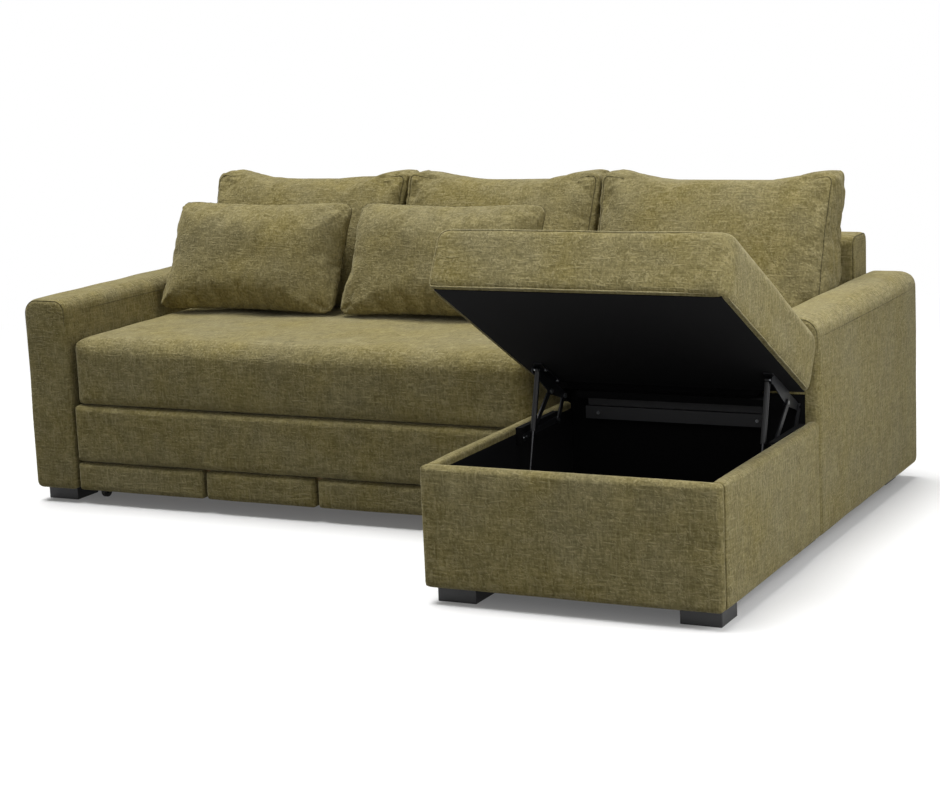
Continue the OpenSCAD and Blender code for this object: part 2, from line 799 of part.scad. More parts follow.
module strut_cylinders() {
    bore_r = strut_d / 2 - strut_wall;
    color(plastic) along_strut() difference() {
        union() {
            rotate([0, 90, 0]) translate([0, 0, -eye_t / 2]) cylinder(r = eye_r, h = eye_t);
            cylinder(r = neck_r, h = cap_from + cap_l);
            translate([0, 0, cap_from]) cylinder(r = strut_d / 2, h = tube_end - cap_from);
        }
        translate([0, 0, cap_from + cap_l]) cylinder(r = bore_r, h = tube_end - guide_l - cap_from - cap_l);
        cylinder(r = rod_d / 2 + pin_clear, h = tube_end + over);
        rotate([0, 90, 0]) translate([0, 0, -eye_t]) cylinder(r = stud_r + pin_clear, h = eye_t * 2);
    }
}

module strut_rods() {
    bore_r = strut_d / 2 - strut_wall;
    color(bright) along_strut() {
        translate([0, 0, piston_from]) cylinder(r = rod_d / 2, h = strut_l - piston_from - eye_r);
        translate([0, 0, piston_from]) cylinder(r = bore_r - pin_clear * 2, h = piston_l);
        translate([0, 0, strut_l - eye_r - neck_l]) cylinder(r = neck_r, h = neck_l + neck_in);
        translate([-eye_t / 2, 0, strut_l]) rotate([0, 90, 0]) difference() {
            cylinder(r = eye_r, h = eye_t);
            translate([0, 0, -over]) cylinder(r = stud_r + pin_clear, h = eye_t + over * 2);
        }
    }
}

module bed_front_panel() {
    color(olive) translate([x_bay + side_gap, y_main, z_panel])
        soft_block([bay_w - side_gap * 2, front_panel_t, z_seat - panel_top_gap - z_panel],
            [panel_r, panel_r, panel_r, panel_r], [panel_r, panel_r, 0, 0], [panel_r, 0, 0, panel_r]);
}

// One padded piece of the plinth, between two distances from the bed's left edge
module plinth(from, to) {
    color(olive) translate([x_bay + side_gap + from, y_main + seam_gap, foot_h])
        soft_block([to - from, front_panel_t - seam_gap, plinth_h],
            [plinth_r, plinth_r, plinth_r, plinth_r], [plinth_r, plinth_r, 0, 0], [plinth_r, 0, 0, plinth_r]);
}
plinth_ends = [plinth_first_w, plinth_first_w + plinth_mid_w, plinth_first_w + plinth_mid_w * 2,
    front_w];

module bed_plinth_first() {
    plinth(0, plinth_ends[0] - seam_gap / 2);
}

module bed_plinth_second() {
    plinth(plinth_ends[0] + seam_gap / 2, plinth_ends[1] - seam_gap / 2);
}

module bed_plinth_third() {
    plinth(plinth_ends[1] + seam_gap / 2, plinth_ends[2] - seam_gap / 2);
}

module bed_plinth_last() {
    plinth(plinth_ends[2] + seam_gap / 2, plinth_ends[3]);
}

module bed_side_rails() {
    color(timber) {
        block([x_bed, y_bed, z_bed_rail], [x_bed + bed_rail_t, y_bed_back, z_bed_slat]);
        block([x_bed_end - bed_rail_t, y_bed, z_bed_rail], [x_bed_end, y_bed_back, z_bed_slat]);
    }
}

module bed_cross_rails() {
    color(timber) for (y = [y_bed, y_bed_back - board_t])
        block([x_bed + bed_rail_t, y, z_bed_rail], [x_bed_end - bed_rail_t, y + board_t, z_bed_slat]);
}

module bed_slat_set() {
    pitch = (y_bed_back - y_bed - bed_slat_w) / (bed_slats - 1);
    color(timber) for (i = [0:bed_slats - 1])
        block([x_bed, y_bed + i * pitch, z_bed_slat], [x_bed_end, y_bed + i * pitch + bed_slat_w, z_mattress]);
}

module bed_mattress() {
    w = x_bed_end - x_bed - mattress_inset * 2;
    l = y_bed_back - y_bed - mattress_inset * 2;
    r = mattress_r;
    color(foam_cover) translate([x_bed + mattress_inset, y_bed + mattress_inset, z_mattress + seat_gap])
        soft_block([w, l, mattress_t], [r, r, r, r], [r, r, r, r], [r, r, r, r]);
}

// Plastic glides at the bed's rear corners, which run in the channels
module bed_glides() {
    z0 = z_bed_rail + guide_up + guide_wall + glide_clear;
    z1 = z_bed_rail + guide_up + guide_h - guide_wall - glide_clear;
    y0 = y_bed_back - glide_l;
    color(plastic) {
        block([x_bay + guide_wall + glide_clear, y0, z0], [x_bed, y_bed_back, z1]);
        block([x_bed_end, y0, z0], [x_chaise - guide_wall - glide_clear, y_bed_back, z1]);
    }
}

roller_z = roller_r + floor_gap;
roller_ys = [y_bed + roller_front_set, y_bed_back - roller_rear_set];
roller_xs = [x_bed + bed_rail_t / 2, x_bed_end - bed_rail_t / 2];

// Forks under the side rails: a top plate and two cheeks that hold the axle
module roller_forks() {
    inner = roller_w / 2 + fork_gap;
    color(steel) for (x = roller_xs, y = roller_ys) difference() {
        union() {
            block([x - inner - fork_plate_t, y - fork_w / 2, z_bed_rail - fork_plate_t],
                [x + inner + fork_plate_t, y + fork_w / 2, z_bed_rail]);
            for (side = [-1, 1])
                translate([x + side * (inner + fork_plate_t / 2), y, 0])
                    block([-fork_plate_t / 2, -fork_w / 4, roller_z - axle_low],
                        [fork_plate_t / 2, fork_w / 4, z_bed_rail]);
        }
        pin_at([y, roller_z], axle_r, x - inner - fork_plate_t - over, x + inner + fork_plate_t + over);
    }
}

module roller_axles() {
    half = roller_w / 2 + fork_gap + fork_plate_t;
    color(bright) for (x = roller_xs, y = roller_ys)
        pin_at([y, roller_z], axle_r, x - half, x + half);
}

// Roller with a rounded tread and a hub, turned about its axle
module roller(x, y) {
    half = roller_w / 2;
    color(plastic) translate([x - half, y, roller_z]) rotate([0, 90, 0]) rotate_extrude() difference() {
        union() {
            square([hub_r, roller_w]);
            translate([0, tyre_r / 2]) soft_rect(roller_r, roller_w - tyre_r, [0, tyre_r, tyre_r, 0]);
        }
        square([axle_r + axle_clear, roller_w + over]);
    }
}

module front_rollers() {
    for (x = roller_xs) roller(x, roller_ys[0]);
}

module rear_rollers() {
    for (x = roller_xs) roller(x, roller_ys[1]);
}

left_arm();
right_arm();
back_frame();
seat_cushion();
corner_seat_cushion();
back_cushion_left();
back_cushion_middle();
back_cushion_right();
scatter_cushion_left();
scatter_cushion_right();
seat_front_rail();
seat_rear_rail();
seat_side_rails();
seat_slat_set();
corner_deck();
corner_front_rail();
corner_side_panel();
rail_screws();
box_front();
box_left_side();
box_right_side();
box_floor();
box_rear_panel();
feet();
lift_battens();
lift_base_plates();
lift_base_pins();
strut_brackets();
base_screws();
bed_guide_rails();
lid_board();
lid_cushion();
lid_plates();
lid_pins();
lid_screws();
front_links();
rear_links();
strut_cylinders();
strut_rods();
bed_front_panel();
bed_plinth_first();
bed_plinth_second();
bed_plinth_third();
bed_plinth_last();
bed_side_rails();
bed_cross_rails();
bed_slat_set();
bed_mattress();
bed_glides();
roller_forks();
roller_axles();
front_rollers();
rear_rollers();
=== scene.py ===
# Corner storage sofa bed: upholstery, finishes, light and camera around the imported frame
import math

import bpy
import numpy as np
from mathutils import Matrix, Vector
from mathutils.bvhtree import BVHTree


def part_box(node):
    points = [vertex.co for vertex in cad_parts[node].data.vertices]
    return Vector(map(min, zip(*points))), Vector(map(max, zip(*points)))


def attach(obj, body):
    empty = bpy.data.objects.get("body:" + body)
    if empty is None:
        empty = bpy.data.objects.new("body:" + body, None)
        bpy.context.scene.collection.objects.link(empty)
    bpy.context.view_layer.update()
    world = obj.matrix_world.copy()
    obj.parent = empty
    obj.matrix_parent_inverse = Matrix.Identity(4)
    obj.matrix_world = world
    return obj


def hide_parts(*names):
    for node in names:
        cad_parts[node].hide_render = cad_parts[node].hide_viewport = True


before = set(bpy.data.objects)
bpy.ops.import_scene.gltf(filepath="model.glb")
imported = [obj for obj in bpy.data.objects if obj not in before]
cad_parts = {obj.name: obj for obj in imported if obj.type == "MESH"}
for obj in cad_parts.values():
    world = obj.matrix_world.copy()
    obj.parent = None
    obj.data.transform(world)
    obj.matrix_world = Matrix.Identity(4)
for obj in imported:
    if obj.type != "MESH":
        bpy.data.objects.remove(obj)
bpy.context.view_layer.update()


def linearColour(code):
    # sRGB to linear: c / 12.92 up to 0.04045, above it ((c + 0.055) / 1.055) to the power 2.4
    parts = [int(code[i:i + 2], 16) / 255 for i in (1, 3, 5)]
    return tuple(c / 12.92 if c <= 0.04045 else ((c + 0.055) / 1.055) ** 2.4 for c in parts) + (1.0,)


# Camera of the photograph: its place, and its turn as yaw, pitch and roll in degrees
photoCamera = {"place": (2.9082, -5.4663, 1.4896), "yaw": 26.650, "pitch": 10.540, "roll": -2.3715,
               "lens": 85.893, "sensor": 36.0}


def placeCamera(settings):
    # forward = (-sin yaw cos pitch, cos yaw cos pitch, -sin pitch), then right and up are rolled about it
    yaw, pitch, roll = (math.radians(settings[k]) for k in ("yaw", "pitch", "roll"))
    forward = Vector((-math.sin(yaw) * math.cos(pitch), math.cos(yaw) * math.cos(pitch), -math.sin(pitch)))
    right = Vector((math.cos(yaw), math.sin(yaw), 0))
    up = right.cross(forward)
    rolledRight = right * math.cos(roll) + up * math.sin(roll)
    rolledUp = up * math.cos(roll) - right * math.sin(roll)
    data = bpy.data.cameras.new("photoCamera")
    data.lens = settings["lens"]
    data.sensor_width = settings["sensor"]
    camera = bpy.data.objects.new("photoCamera", data)
    bpy.context.scene.collection.objects.link(camera)
    turn = Matrix((rolledRight, rolledUp, -forward)).transposed().to_4x4()
    camera.matrix_world = Matrix.Translation(settings["place"]) @ turn
    bpy.context.scene.camera = camera


placeCamera(photoCamera)
bpy.context.scene.view_settings.view_transform = "Standard"


def addNode(material, kind, links=None, values=None, **settings):
    node = material.node_tree.nodes.new(kind)
    for name, value in settings.items():
        setattr(node, name, value)
    for name, value in (values or {}).items():
        node.inputs[name].default_value = value
    for name, source in (links or {}).items():
        material.node_tree.links.new(source, node.inputs[name])
    return node.outputs[0] if len(node.outputs) else node


def newMaterial(name):
    material = bpy.data.materials.new(name)
    material.use_nodes = True
    material.node_tree.nodes.clear()
    return material


def finishMaterial(material, links, values):
    shader = addNode(material, "ShaderNodeBsdfPrincipled", links, values)
    addNode(material, "ShaderNodeOutputMaterial", {"Surface": shader})
    return material


def objectPoint(material, scale):
    # Object coordinates are metres, so a scale of 1 / size repeats a pattern about every size metres
    place = material.node_tree.nodes.new("ShaderNodeTexCoord").outputs["Object"]
    return addNode(material, "ShaderNodeMapping", {"Vector": place}, {"Scale": scale})


# Olive chenille: a woven pile of short curled tufts. It is matt, lighter at a grazing view where the tufts'
# tips catch the light, and mottled between a warm olive and a greyer one where the pile lies another way
oliveFabric = {"warm": "#9c905f", "warmShade": "#786d3e", "grey": "#9b9168", "greyShade": "#7c7452",
               "tuft": "#cabf93", "tuftShare": 0.21, "tuftSize": 0.024, "tuftWidth": 0.045,
               "threadPitch": 0.0060, "threadRun": 0.034, "threadRange": (1.15, 1.85),
               "slubPitch": 0.0065, "slubRun": 0.034, "slubRange": (0.64, 0.80), "gateRange": (0.50, 0.64),
               "patchSize": 0.19, "patchRange": (0.32, 0.68),
               "cloud": 0.24, "cloudSize": 0.045, "cloudRange": (0.30, 0.70),
               "sheen": "#efe6c2", "sheenWeight": 0.35, "sheenRoughness": 0.4, "roughness": 0.95,
               "specular": 0.1, "bumpHeight": 0.0010, "bumpStrength": 0.7}


def chenille(name, s, tint=None, tintShare=0.0):
    material = newMaterial(name)
    # Each noise has a scale, detail and distortion. Threads and slubs, their thick places, have one for each
    # axis, long along it and fine across it. The real yarn is 2 mm, which the photograph's frame can't show,
    # so the pitch is three yarns
    noises = {"curl": ((1 / s["tuftSize"],) * 3, 1.5, 1.1), "gate": ((0.8 / s["tuftSize"],) * 3, 0.0, 0.0),
              "patch": ((1 / s["patchSize"],) * 3, 2.0, 0.0), "cloud": ((1 / s["cloudSize"],) * 3, 3.0, 0.6)}
    for layer, detail in (("thread", 1.0), ("slub", 0.0)):
        for axis in range(3):
            scale = [1 / s[layer + "Pitch"]] * 3
            scale[axis] = 1 / s[layer + "Run"]
            noises[layer + "XYZ"[axis]] = (scale, detail, 0.0)
    field = {}
    for key, (scale, detail, distortion) in noises.items():
        field[key] = addNode(material, "ShaderNodeTexNoise", {"Vector": objectPoint(material, scale)},
                             {"Scale": 1.0, "Detail": detail, "Roughness": 0.6, "Distortion": distortion})
    # The three threads add up to the weave, and the highest slub counts
    for layer, operation in (("thread", "ADD"), ("slub", "MAXIMUM")):
        field[layer] = field[layer + "X"]
        for axis in "YZ":
            field[layer] = addNode(material, "ShaderNodeMath", {0: field[layer], 1: field[layer + axis]},
                                   operation=operation)
    # Curled tufts: thin lines where a noise crosses its middle, broken up by the gate's noise
    offset = addNode(material, "ShaderNodeMath", {0: field["curl"]}, {1: 0.5}, operation="SUBTRACT")
    field["line"] = addNode(material, "ShaderNodeMath", {0: offset}, operation="ABSOLUTE")
    # Each field is stretched from its range to a share. Clouds: the pile leans a few centimetres at a time,
    # and the colour darkens there by up to the cloud share
    share = {}
    for key, (low, high), (start, end) in (
            ("thread", s["threadRange"], (0, 1)), ("slub", s["slubRange"], (0, 1)),
            ("line", (0, s["tuftWidth"]), (1, 0)), ("gate", s["gateRange"], (0, 1)),
            ("patch", s["patchRange"], (0, 1)), ("cloud", s["cloudRange"], (s["cloud"], 0))):
        share[key] = addNode(material, "ShaderNodeMapRange", {"Value": field[key]},
                             {"From Min": low, "From Max": high, "To Min": start, "To Max": end})
    tufts = addNode(material, "ShaderNodeMath", {0: share["line"], 1: share["gate"]}, operation="MULTIPLY")
    raised = addNode(material, "ShaderNodeMath", {0: tufts, 1: share["slub"]}, operation="MAXIMUM")
    warm, grey = (addNode(material, "ShaderNodeMixRGB", {"Fac": share["thread"]},
                          {"Color1": linearColour(s[tone + "Shade"]), "Color2": linearColour(s[tone])})
                  for tone in ("warm", "grey"))
    ground = addNode(material, "ShaderNodeMixRGB", {"Fac": share["patch"], "Color1": warm, "Color2": grey})
    ground = addNode(material, "ShaderNodeMixRGB", {"Fac": share["cloud"], "Color1": ground},
                     {"Color2": (0.0, 0.0, 0.0, 1.0)})
    tuftShare = addNode(material, "ShaderNodeMath", {0: raised}, {1: s["tuftShare"]}, operation="MULTIPLY")
    colour = addNode(material, "ShaderNodeMixRGB", {"Fac": tuftShare, "Color1": ground},
                     {"Color2": linearColour(s["tuft"])})
    if tint:
        colour = addNode(material, "ShaderNodeMixRGB", {"Color1": colour},
                         {"Fac": tintShare, "Color2": linearColour(tint)})
    height = addNode(material, "ShaderNodeMath", {0: share["thread"], 1: raised}, operation="ADD")
    bump = addNode(material, "ShaderNodeBump", {"Height": height},
                   {"Strength": s["bumpStrength"], "Distance": s["bumpHeight"]})
    return finishMaterial(material, {"Base Color": colour, "Normal": bump},
                          {"Roughness": s["roughness"], "Specular IOR Level": s["specular"],
                           "Sheen Weight": s["sheenWeight"], "Sheen Roughness": s["sheenRoughness"],
                           "Sheen Tint": linearColour(s["sheen"])})


def finishPattern(material, share, height, strength, s, values, links=None):
    # The colour runs from dark to light by the share, and the bump follows the height
    colour = addNode(material, "ShaderNodeMixRGB", {"Fac": share},
                     {"Color1": linearColour(s["dark"]), "Color2": linearColour(s["light"])})
    bump = addNode(material, "ShaderNodeBump", {"Height": height},
                   {"Strength": strength, "Distance": s["bumpHeight"]})
    return finishMaterial(material, {"Base Color": colour, "Normal": bump, **(links or {})}, values)


# Black non-woven lining: pressed fibres without a weave, dull and almost without a highlight
liningFabric = {"dark": "#040405", "light": "#0b0b0c", "fibre": 0.004, "roughness": 0.9, "specular": 0.12,
                "bumpHeight": 0.0004}


def lining(name, s):
    material = newMaterial(name)
    fibres = addNode(material, "ShaderNodeTexNoise",
                     {"Vector": objectPoint(material, (1 / s["fibre"],) * 3)},
                     {"Scale": 1.0, "Detail": 3.0, "Distortion": 1.5})
    return finishPattern(material, fibres, fibres, 0.5, s,
                         {"Roughness": s["roughness"], "Specular IOR Level": s["specular"]})


# Hard finishes: powder-coated black steel has a fine pebbled skin, zinc-plated steel shows faint turned
# lines, a strut's cylinder is painted a glossy black and its rod is ground and blackened, the rail behind the
# box is board in a black melamine laminate, and feet, glides and rollers are moulded plastic
hardFinishes = {
    "powderCoatedSteel": {"dark": "#131416", "light": "#1d1e20", "metallic": 0.2, "roughness": 0.46,
                          "specular": 0.3, "grain": 0.0022, "stretch": 1.0, "bumpHeight": 0.00012},
    "zincPlatedSteel": {"dark": "#8f9296", "light": "#b9bbbe", "metallic": 1.0, "roughness": 0.3,
                        "specular": 0.5, "grain": 0.0015, "stretch": 6.0, "bumpHeight": 0.00004},
    "blackenedRod": {"dark": "#2b2b2d", "light": "#3b3b3d", "metallic": 0.8, "roughness": 0.26,
                     "specular": 0.5, "grain": 0.003, "stretch": 4.0, "bumpHeight": 0.00001},
    "paintedTube": {"dark": "#060607", "light": "#0b0b0c", "metallic": 0.0, "roughness": 0.34,
                    "specular": 0.25, "grain": 0.006, "stretch": 1.0, "bumpHeight": 0.00002},
    "blackLaminate": {"dark": "#141416", "light": "#1d1d20", "metallic": 0.0, "roughness": 0.5,
                      "specular": 0.5, "grain": 0.003, "stretch": 5.0, "bumpHeight": 0.00005},
    "mouldedPlastic": {"dark": "#0e0e0f", "light": "#161617", "metallic": 0.0, "roughness": 0.5,
                       "specular": 0.5, "grain": 0.0016, "stretch": 1.0, "bumpHeight": 0.00008},
}


def hardFinish(name, s):
    material = newMaterial(name)
    fine = 1 / s["grain"]
    grain = addNode(material, "ShaderNodeTexNoise",
                    {"Vector": objectPoint(material, (fine, fine / s["stretch"], fine / s["stretch"]))},
                    {"Scale": 1.0, "Detail": 2.0})
    # Handling dulls and darkens it in patches of about 45 mm
    wear = addNode(material, "ShaderNodeTexNoise", {"Vector": objectPoint(material, (22.0, 22.0, 22.0))},
                   {"Scale": 1.0, "Detail": 3.0})
    rough = addNode(material, "ShaderNodeMapRange", {"Value": wear},
                    {"To Min": s["roughness"] * 0.8, "To Max": s["roughness"] * 1.25})
    return finishPattern(material, wear, grain, 0.6, s,
                         {"Metallic": s["metallic"], "Specular IOR Level": s["specular"]},
                         {"Roughness": rough})


# Birch ply slats and rails: pale, with a fine grain of long streaks along the board
slatWood = {"dark": "#b08a5c", "light": "#d2b287", "streak": 0.006, "run": 0.22, "roughness": 0.48,
            "bumpHeight": 0.0002}


def sawnWood(name, s, along):
    material = newMaterial(name)
    scale = [1 / s["streak"]] * 3
    scale[along] = 1 / s["run"]
    streaks = addNode(material, "ShaderNodeTexNoise", {"Vector": objectPoint(material, scale)},
                      {"Scale": 1.0, "Detail": 4.0, "Distortion": 0.6})
    share = addNode(material, "ShaderNodeMapRange", {"Value": streaks}, {"From Min": 0.3, "From Max": 0.7})
    return finishPattern(material, share, streaks, 0.4, s, {"Roughness": s["roughness"]})


# Mattress ticking: a tight grey twill of about 3 mm ribs, drawn at its real size for the pulled-out view
tickingCloth = {"dark": "#55565a", "light": "#77797d", "rib": 0.0032, "roughness": 0.85, "sheen": 0.15,
                "bumpHeight": 0.0005}


def ticking(name, s):
    material = newMaterial(name)
    # Along an axis the wave repeats every 0.314 / scale
    ribs = addNode(material, "ShaderNodeTexWave", {"Vector": objectPoint(material, (1.0, 1.0, 1.0))},
                   {"Scale": 0.314 / s["rib"], "Distortion": 1.2, "Detail": 2.0}, bands_direction="DIAGONAL")
    return finishPattern(material, ribs, ribs, 0.5, s,
                         {"Roughness": s["roughness"], "Sheen Weight": s["sheen"]})


olive = chenille("oliveChenille", oliveFabric)
# Piping cord: real piping, its chenille tinted by 0.12 towards the sheen colour, a painted sheen that makes
# the piped edges read light
oliveCordPaintedSheen = chenille("oliveChenillePiping", oliveFabric, oliveFabric["sheen"], 0.12)
# Seam tubes: the olive darkened most of the way to near black, painted shade of the grooves along the seams
seamPaintedShade = chenille("oliveSeamThread", oliveFabric, "#1d1a0f", 0.6)
black = lining("blackNonWovenLining", liningFabric)
for finishName, finishStyle in hardFinishes.items():
    hardFinish(finishName, finishStyle)
woodAcross = sawnWood("birchPlyAcross", slatWood, 0)
woodAlong = sawnWood("birchPlyAlong", slatWood, 1)
mattressCloth = ticking("greyTicking", tickingCloth)
print("materials made")

# The CAD nodes that stay, by their finish
nodeFinishes = {
    "blackNonWovenLining": ["corner_deck", "corner_side_panel", "box_floor", "box_rear_panel",
                            "lift_battens", "lid_board"],
    "blackLaminate": ["corner_front_rail"],
    "powderCoatedSteel": ["seat_front_rail", "seat_rear_rail", "seat_side_rails", "lift_base_plates",
                          "strut_brackets", "lid_plates", "front_links", "rear_links", "bed_guide_rails",
                          "roller_forks"],
    "zincPlatedSteel": ["rail_screws", "base_screws", "lid_screws", "lift_base_pins", "lid_pins",
                        "roller_axles"],
    "blackenedRod": ["strut_rods"],
    "paintedTube": ["strut_cylinders"],
    "mouldedPlastic": ["feet", "bed_glides", "front_rollers", "rear_rollers"],
    "birchPlyAcross": ["bed_slat_set", "bed_cross_rails"],
    "birchPlyAlong": ["seat_slat_set", "bed_side_rails"],
}
for finish, names in nodeFinishes.items():
    for nodeName in names:
        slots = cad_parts[nodeName].data.materials
        slots.clear()
        slots.append(bpy.data.materials[finish])


def newPiece(name, points, faces, materials, faceSlots=None):
    # points is an array of N by 3 and faces of M by 4; faceSlots gives each face's material
    mesh = bpy.data.meshes.new(name)
    mesh.vertices.add(len(points))
    mesh.vertices.foreach_set("co", np.ascontiguousarray(points, np.float32).ravel())
    mesh.loops.add(faces.size)
    mesh.loops.foreach_set("vertex_index", np.ascontiguousarray(faces, np.int32).ravel())
    mesh.polygons.add(len(faces))
    mesh.polygons.foreach_set("loop_start", np.arange(0, faces.size, 4, dtype=np.int32))
    if faceSlots is not None:
        mesh.polygons.foreach_set("material_index", np.ascontiguousarray(faceSlots, np.int32))
    mesh.update(calc_edges=True)
    mesh.polygons.foreach_set("use_smooth", np.ones(len(faces), bool))
    for material in materials:
        mesh.materials.append(material)
    piece = bpy.data.objects.new(name, mesh)
    bpy.context.scene.collection.objects.link(piece)
    return piece


def subdivide(piece, levels=1):
    modifier = piece.modifiers.new("smooth", "SUBSURF")
    modifier.levels = modifier.render_levels = levels


def gridQuads(index):
    # Faces (i, j), (i + 1, j), (i + 1, j + 1), (i, j + 1) of a grid of point numbers
    return np.stack([index[:-1, :-1], index[1:, :-1], index[1:, 1:], index[:-1, 1:]], -1).reshape(-1, 4)


def merged(points, faces):
    # Points that agree to a micrometre become one
    unique, inverse = np.unique(np.round(points, 6), axis=0, return_inverse=True)
    return unique, inverse.ravel()[faces]


def blockGrid(size, arc, step):
    # Points of a box's six faces. Along each axis the stations lie at arc (1 - tan a) for a from 45 to
    # 0 degrees in the rounding and evenly between; points that faces share are merged
    stations = []
    for length in size:
        r = min(arc, length * 0.49)
        corner = r * (1 - np.tan(np.linspace(math.pi / 4, 0, 6)))
        count = max(1, int(round((length - 2 * r) / step)))
        middle = np.linspace(r, length - r, count + 1)
        stations.append(np.concatenate([corner[:-1], middle, (length - corner[:-1])[::-1]]))
    points, faces, start = [], [], 0
    for axis in range(3):
        u, v = (axis + 1) % 3, (axis + 2) % 3
        gridU, gridV = np.meshgrid(stations[u], stations[v], indexing="ij")
        quads = gridQuads(np.arange(gridU.size).reshape(gridU.shape))
        for level, order in ((0.0, quads[:, ::-1]), (size[axis], quads)):
            face = np.empty((gridU.size, 3))
            face[:, u], face[:, v], face[:, axis] = gridU.ravel(), gridV.ravel(), level
            points.append(face)
            faces.append(order + start)
            start += gridU.size
    return merged(np.concatenate(points), np.concatenate(faces))


def roundedView(a, b, width, height, radii):
    # Signed distance to a rectangle with a radius at each corner: lower left, lower right, upper right and
    # upper left. Inside it is max(qa, qb), and past a corner's centre hypot(qa, qb), less the radius
    right, top = a > width / 2, b > height / 2
    r = np.where(top, np.where(right, radii[2], radii[3]), np.where(right, radii[1], radii[0]))
    qa, qb = np.abs(a - width / 2) - width / 2 + r, np.abs(b - height / 2) - height / 2 + r
    return np.minimum(np.maximum(qa, qb), 0) + np.hypot(np.maximum(qa, 0), np.maximum(qb, 0)) - r


def bulge(a, b, power):
    # (1 - |a| ** power) (1 - |b| ** power) for a and b from -1 to 1: full in the middle, nothing at the edges
    return np.clip(1 - np.abs(a) ** power, 0, 1) * np.clip(1 - np.abs(b) ** power, 0, 1)


def waveField(points, size, seed, count=14):
    # Soft random field from -1 to 1: the mean of plane waves in random directions, with lengths around size
    random = np.random.default_rng(seed)
    directions = random.normal(size=(3, count))
    directions /= np.linalg.norm(directions, axis=0)
    lengths = size * random.uniform(0.7, 1.6, count)
    phases = random.uniform(0, 2 * math.pi, count)
    return np.sin(points @ (directions * 2 * math.pi / lengths) + phases).mean(1) * 2.2


def rolledEdge(outline, along, length, radii):
    # Distance to an outline carried along a length, with both ends rolled over by a radius:
    # hypot(outline + r, end + r) - r near an end, with a radius of its own at each
    low = along < length / 2
    r = np.where(low, radii[0], radii[1])
    a, b = outline + r, np.where(low, -along, along - length) + r
    return np.minimum(np.maximum(a, b), 0) + np.hypot(np.maximum(a, 0), np.maximum(b, 0)) - r


def softBlock(size, front, plan, side, arc, step, crowns=(0, 0, 0, 0, 0, 0), power=2.5, rolled=None):
    # Padded block: along the line from the inner box to each grid point, the surface lies where the largest
    # of the three rounded views' distances is zero. front, plan and side are those views' corner radii, and
    # rolled is an axis and the radii by which the view along it rolls over at its two ends. Each face then
    # bulges by its crown: -X, +X, -Y, +Y, -Z, +Z
    size = np.array(size, float)
    points, faces = blockGrid(size, arc, step)
    reach = np.minimum(arc, size * 0.49)
    inner = np.clip(points, reach, size - reach)
    near, far = np.zeros(len(points)), np.full(len(points), 1.0)
    for _ in range(26):
        middle = (near + far) / 2
        place = (inner + (points - inner) * middle[:, None]).T
        x, y, z = place
        views = [roundedView(y, z, size[1], size[2], side), roundedView(x, z, size[0], size[2], front),
                 roundedView(x, y, size[0], size[1], plan)]
        if rolled:
            axis, radii = rolled
            views[axis] = rolledEdge(views[axis], place[axis], size[axis], radii)
        depth = np.max(views, axis=0)
        near, far = np.where(depth < 0, middle, near), np.where(depth < 0, far, middle)
    surface = inner + (points - inner) * near[:, None]
    unit = surface / size * 2 - 1
    outward = points - inner
    outward /= np.maximum(np.linalg.norm(outward, axis=1), 1e-9)[:, None]
    for axis in range(3):
        u, v = (axis + 1) % 3, (axis + 2) % 3
        swell = bulge(unit[:, u], unit[:, v], power)
        for sign, amount in ((-1, crowns[axis * 2]), (1, crowns[axis * 2 + 1])):
            surface[:, axis] += sign * amount * swell * np.clip(outward[:, axis] * sign, 0, 1) ** 2
    return surface, faces, outward


def tube(path, radius, hint, closed=True, sides=8):
    # Circle carried along the path: P + r (cos t N + sin t B), with N the hint made square to the tangent
    path = np.asarray(path, float)
    if closed:
        tangent = np.roll(path, -1, 0) - np.roll(path, 1, 0)
    else:
        tangent = np.gradient(path, axis=0)
    tangent /= np.linalg.norm(tangent, axis=1)[:, None]
    normal = np.broadcast_to(np.asarray(hint, float), path.shape)
    normal = normal - (normal * tangent).sum(1)[:, None] * tangent
    normal = normal / np.linalg.norm(normal, axis=1)[:, None]
    side = np.cross(tangent, normal)
    angles = np.arange(sides) * 2 * math.pi / sides
    count = len(path)
    radius = np.broadcast_to(radius, count)[:, None, None]
    rings = (path[:, None] + radius * (np.cos(angles)[None, :, None] * normal[:, None]
                                       + np.sin(angles)[None, :, None] * side[:, None])).reshape(-1, 3)
    i = np.arange(count if closed else count - 1)[:, None]
    j = np.arange(sides)[None, :]
    following = (i + 1) % count
    faces = np.stack([i * sides + j, following * sides + j, following * sides + (j + 1) % sides,
                      i * sides + (j + 1) % sides], -1).reshape(-1, 4)[:, ::-1]
    if not closed:
        # The open ends are closed by quads across the first and the last ring
        cap = np.array([[0, 1, 2, 7], [7, 2, 3, 6], [6, 3, 4, 5]])
        faces = np.concatenate([faces, cap[:, ::-1], cap + (count - 1) * sides])
    return rings, faces


def joinParts(parts):
    # Several (points, faces) as one pair
    starts = np.cumsum([0] + [len(p) for p, _ in parts[:-1]])
    return np.concatenate([p for p, _ in parts]), np.concatenate([f + s for (_, f), s in zip(parts, starts)])


def roundedRing(low, high, radii, count=10, step=0.02):
    # Outline of a rounded rectangle, anticlockwise along its lower side first, with even steps between arcs
    (x0, y0), (x1, y1) = low, high
    corners = [(x1 - radii[1], y0 + radii[1], radii[1], -90), (x1 - radii[2], y1 - radii[2], radii[2], 0),
               (x0 + radii[3], y1 - radii[3], radii[3], 90), (x0 + radii[0], y0 + radii[0], radii[0], 180)]
    arcs = []
    for cx, cy, r, first in corners:
        t = np.radians(np.linspace(first, first + 90, count))
        arcs.append(np.stack([cx + r * np.cos(t), cy + r * np.sin(t)], 1))
    runs = []
    for k in range(4):
        a, b = arcs[k - 1][-1], arcs[k][0]
        n = max(2, int(np.linalg.norm(b - a) / step))
        runs += [a + (b - a) * np.linspace(0, 1, n + 1)[1:-1, None], arcs[k]]
    return np.concatenate(runs)


def upholstered(piece, body, node):
    subdivide(piece)
    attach(piece, body)
    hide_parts(node)


